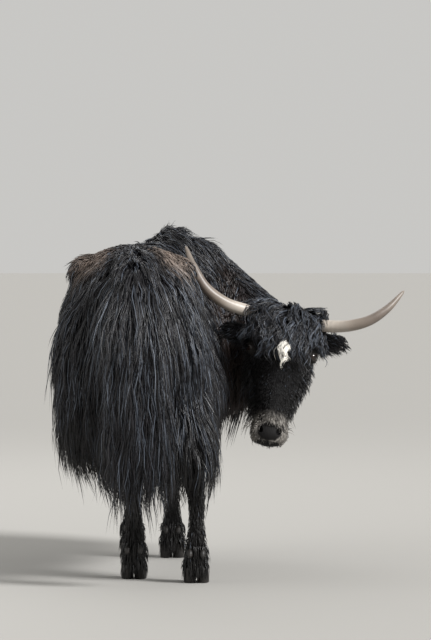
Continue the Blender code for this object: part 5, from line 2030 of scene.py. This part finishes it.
        return Growth(
            name="coat_ears", slot=Slot.COAT, tufts=1900, locks=420, rows=4, width=0.0024, lift=0.35, droop=0.12,
            curl=0.0015, wave=0.03, gather=0.4, spread=0.18, streaks=0.08, seed=62,
            where=lambda p, n: Region.ear(p), length=length, lie=lie, depth=lambda p, n: np.full(len(p), 0.003), matt=True, clear=0.026,
        )


@dataclass
class Horn:
    """A horn: out, then up, with its tip turned in.

    Attributes:
        side: Which horn.
        rings: How many rings it is made of.
        sides: How many sides it has.
        ridges: How many growth ridges lie near its base.
    """

    side: Side
    rings: int = 90
    sides: int = 32
    ridges: int = 9

    def build(self) -> bpy.types.Object:
        """Builds the horn with how far along it each point lies.

        Returns:
            The horn.
        """
        route = smooth_rows(HORN_LEFT if self.side is Side.LEFT else HORN_RIGHT, self.rings)
        rings, shares = [], []
        for i, point in enumerate(route):
            t = i / (self.rings - 1)
            ahead, behind = route[min(i + 1, self.rings - 1)], route[max(i - 1, 0)]
            along = Vector(ahead - behind).normalized()
            across = along.cross(Vector((0, 1, 0))).normalized()
            high = across.cross(along)
            radius = HORN_BASE_RADIUS * (1.0 - 0.16 * t - 0.64 * t**4)
            radius *= math.sqrt(max(0.0, 1.0 - max(0.0, (t - 0.965) / 0.036) ** 2))
            ridge = 0.022 * max(0.0, 1.0 - t / 0.42) * math.sin(TAU * self.ridges * t / 0.42)
            ring = []
            for k in range(self.sides):
                angle = TAU * k / self.sides
                uneven = 1.0 + ridge + 0.012 * math.sin(3 * angle + 9 * t) + 0.008 * math.sin(5 * angle - 17 * t)
                spoke = across * math.cos(angle) + high * math.sin(angle)
                ring.append(HEAD @ (Vector(point) + spoke * max(radius * uneven, 0.0006)))
            rings.append(ring)
            shares += [t] * self.sides
        obj = loft(f"horn_sheath_{self.side.word}", rings)
        coloured(obj, "along", np.array(shares))
        obj.data.shade_smooth()
        return obj

    def dress(self, obj: bpy.types.Object, finish: bpy.types.Material) -> bpy.types.Object:
        """Gives the horn its finish in place of the CAD node.

        Args:
            obj: The horn.
            finish: Its finish.

        Returns:
            The finished piece.
        """
        return settled(obj, finish, Slot.HORN, [f"horn_{self.side.word}"])


@dataclass
class Eye:
    """A wet eye with a level pupil.

    Attributes:
        side: Which eye.
        turn: How far its look is turned to the front, in degrees.
    """

    side: Side
    turn: float = EYE_TURN

    def build(self) -> bpy.types.Object:
        """Builds the eye with how far each point lies off its line of sight.

        Returns:
            The eye.
        """
        across = self.side.value
        obj = ball("eyeball", (0, 0, 0), (EYE_RADIUS,) * 3, None, 64, 48)
        obj.name = obj.data.name = f"eyeball_{self.side.word}"
        look = Matrix.Rotation(math.radians(-self.turn * across), 3, "Z") @ Vector((across, 0, 0))
        level = Vector((0, 0, 1)).cross(look).normalized()
        upright = look.cross(level)
        points = points_of(obj) / EYE_RADIUS
        wide, high = points @ np.array(level), points @ np.array(upright)
        off = np.hypot(wide / 1.55, high) + 2.0 * (points @ np.array(look) < 0)
        coloured(obj, "off_axis", off)
        place = Matrix.Translation((across * EYE_PLACE.x, EYE_PLACE.y, EYE_PLACE.z))
        obj.data.transform(HEAD @ place)
        obj.data.shade_smooth()
        return obj

    def dress(self, obj: bpy.types.Object, finish: bpy.types.Material) -> bpy.types.Object:
        """Gives the eye its finish in place of the CAD node.

        Args:
            obj: The eye.
            finish: Its finish.

        Returns:
            The finished piece.
        """
        return settled(obj, finish, Slot.EYE, [f"eye_{self.side.word}"])


@dataclass
class Foot:
    """The two claws and two dewclaws of one leg.

    Attributes:
        leg: The leg's name.
        half: Half the width of a claw.
        length: Half its length.
    """

    leg: str
    half: float = 0.0205
    length: float = 0.047

    def claw(self, side: int, word: str) -> bpy.types.Object:
        """One claw: a flat sole, a steep toe and a round heel.

        Args:
            side: -1 for the left claw, 1 for the right.
            word: The side in words.

        Returns:
            The claw.
        """
        foot, points = FEET[self.leg], 36
        levels = (
            (0.0, 0.93, 0.0100), (0.003, 0.99, 0.0095), (0.012, 1.0, 0.0075), (0.022, 0.985, 0.0050),
            (0.033, 0.94, 0.0010), (0.043, 0.88, -0.0030), (0.049, 0.83, -0.0055), (CORONET_HEIGHT, 0.72, -0.006),
        )
        rings = []
        for height, share, forward in levels:
            ring = []
            for i in range(points):
                angle = TAU * i / points
                toe = max(0.0, math.sin(angle))
                x = self.half * share * math.cos(angle) * (1.0 - 0.30 * toe**2)
                y = self.length * share * math.sin(angle) * (1.12 if toe > 0 else 0.88) + forward
                ring.append(foot + Vector((side * (self.half + 0.0016) + x, y, height)))
            rings.append(ring)
        return loft(f"claw_{self.leg}_{word}", rings)

    def spur(self, side: int, word: str) -> bpy.types.Object:
        """A dewclaw behind the fetlock.

        Args:
            side: -1 for the left dewclaw, 1 for the right.
            word: The side in words.

        Returns:
            The dewclaw.
        """
        foot = FEET[self.leg]
        back = -0.068 if "hind" in self.leg else -0.055
        place = Matrix.Translation(foot + Vector((side * 0.021, back, 0.102)))
        obj = ball(f"spur_{self.leg}_{word}", (0, 0, 0), (1, 1, 1), None, 24, 16)
        stretch = Matrix.Rotation(math.radians(145), 4, "X") @ Matrix.Diagonal((0.0098, 0.0098, 0.017, 1.0))
        obj.data.transform(place @ stretch)
        return obj

    def build(self, finish: bpy.types.Material) -> None:
        """Builds and dresses the foot.

        Args:
            finish: The hoof's finish.
        """
        for side, word in ((-1, "left"), (1, "right")):
            claw = self.claw(side, word)
            claw.data.shade_smooth()
            claw.data.set_sharp_from_angle(angle=math.radians(50))
            settled(claw, finish, Slot.HOOF, [f"hoof_{self.leg}_{word}"])
            spur = self.spur(side, word)
            spur.data.shade_smooth()
            settled(spur, finish, Slot.HOOF, [f"dewclaw_{self.leg}_{word}"])


@dataclass
class Studio:
    """The floor, the soft lights and the camera.

    Attributes:
        distance: How far the camera stands behind the hind feet.
        height: Its height.
        pitch: How far it looks down, in degrees.
        focal_px: Its focal length in pixels of the 640 px high picture.
    """

    distance: float = 16.9
    across: float = 0.2417
    height: float = 1.6
    pitch: float = 2.47
    focal_px: float = 5070.0
    picture_height: float = 640.0
    sensor: float = 36.0

    def floor(self) -> None:
        """Lays the plain pale floor."""
        deselect()
        bpy.ops.mesh.primitive_plane_add(size=1.0)
        obj = bpy.context.object
        obj.name = "studio_floor"
        obj.data.transform(Matrix.Translation((0, 0, -0.0005)) @ Matrix.Diagonal((60.0, 60.0, 1.0, 1.0)))
        obj.data.materials.append(StudioFinish("matt_pale_floor", 0.85, 1.45).build())
        obj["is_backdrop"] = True

    def camera(self) -> None:
        """Sets the camera where the photograph was taken from."""
        data = bpy.data.cameras.new("camera")
        data.sensor_fit = "VERTICAL"
        data.sensor_height = self.sensor
        data.lens = self.focal_px * self.sensor / self.picture_height
        data.clip_end = 200.0
        obj = bpy.data.objects.new("camera", data)
        obj.location = Vector((self.across, -self.distance, self.height)) + Vector((SHIFT.x, SHIFT.y, 0.0))
        obj.rotation_euler = (math.radians(90.0 - self.pitch), 0.0, 0.0)
        bpy.context.scene.collection.objects.link(obj)
        bpy.context.scene.camera = obj

    def lamp(self, name: str, place: Sequence[float], size: float, power: float) -> None:
        """Hangs one square soft light that looks at the yak.

        Args:
            name: Its name.
            place: Where it hangs.
            size: Its side.
            power: Its power in watts.
        """
        data = bpy.data.lights.new(name, "AREA")
        data.shape = "SQUARE"
        data.size = size
        data.energy = power
        obj = bpy.data.objects.new(name, data)
        obj.location = place
        obj.rotation_euler = (Vector((0, 0, 0.6)) - Vector(place)).to_track_quat("-Z", "Y").to_euler()
        bpy.context.scene.collection.objects.link(obj)

    def sun(self, towards: Sequence[float], spread: float, strength: float) -> None:
        """Sets the one wide key light.

        Args:
            towards: The way from the yak to the light.
            spread: Its angle in degrees, which sets how soft the shadows are.
            strength: Its strength.
        """
        data = bpy.data.lights.new("key", "SUN")
        data.angle = math.radians(spread)
        data.energy = strength
        obj = bpy.data.objects.new("key", data)
        obj.rotation_euler = Vector(towards).to_track_quat("Z", "Y").to_euler()
        bpy.context.scene.collection.objects.link(obj)

    def build(self) -> None:
        """Sets up everything that isn't the yak."""
        scene = bpy.context.scene
        scene.view_settings.view_transform = "Standard"
        world = bpy.data.worlds.new("studio")
        world.use_nodes = True
        background = world.node_tree.nodes["Background"]
        background.inputs["Color"].default_value = (*linear("e9e8e5"), 1.0)
        background.inputs["Strength"].default_value = 0.71
        scene.world = world
        self.floor()
        self.camera()
        self.sun((1.05, -0.85, 1.05), 16.0, 4.4)
        self.lamp("fill_lamp", (-3.4, -2.2, 2.4), 2.6, 32.0)
        self.lamp("rim", (-1.5, 4.6, 4.2), 3.0, 60.0)


def main() -> None:
    """Builds the yak and its studio in order."""
    logging.basicConfig(level=logging.INFO, format="%(name)s: %(message)s")
    Studio().build()
    skin = Skin()
    flesh = skin.build()
    surface = Surface(flesh)
    skin.dress(flesh, surface)
    # The long hair has the wet shine of guard hair, the short matted hair hardly any.
    glossy = HairFinish("long_black_hair", 0.40, 1.55).build()
    matt = HairFinish("short_matted_hair", 0.58, 1.46).build()
    coat = Coat(surface, glossy, matt)
    body = (
        Body.rump(), Body.flank(-1), Body.flank(1), Body.belly(), Body.back(), Body.hump(), Body.crest(),
        Body.neck(), Body.legs(), Body.pasterns(), Body.tail(), Body.tail_head(),
    )
    head = (Head.forelock(), Head.blaze(), Head.face(), Head.cheeks(), Head.ears())
    for growth in body + head:
        coat.grow(growth)
    horn = HornFinish("weathered_horn", 0.42, 1.55).build()
    eye = EyeFinish("wet_dark_eye", 0.10, 1.38).build()
    hoof = HoofFinish("dusty_hoof_wall", 0.55, 1.5).build()
    for side in Side:
        keratin = Horn(side)
        keratin.dress(keratin.build(), horn)
        ball_of_eye = Eye(side)
        ball_of_eye.dress(ball_of_eye.build(), eye)
    for leg in FEET:
        Foot(leg).build(hoof)
    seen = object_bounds()
    boxes = {"cad": [list(map(float, c)) for c in CAD_BOX], "visual": [list(map(float, c)) for c in seen]}
    LOG.info("box %s against %s", boxes["visual"], boxes["cad"])


if __name__ == "__main__":
    main()
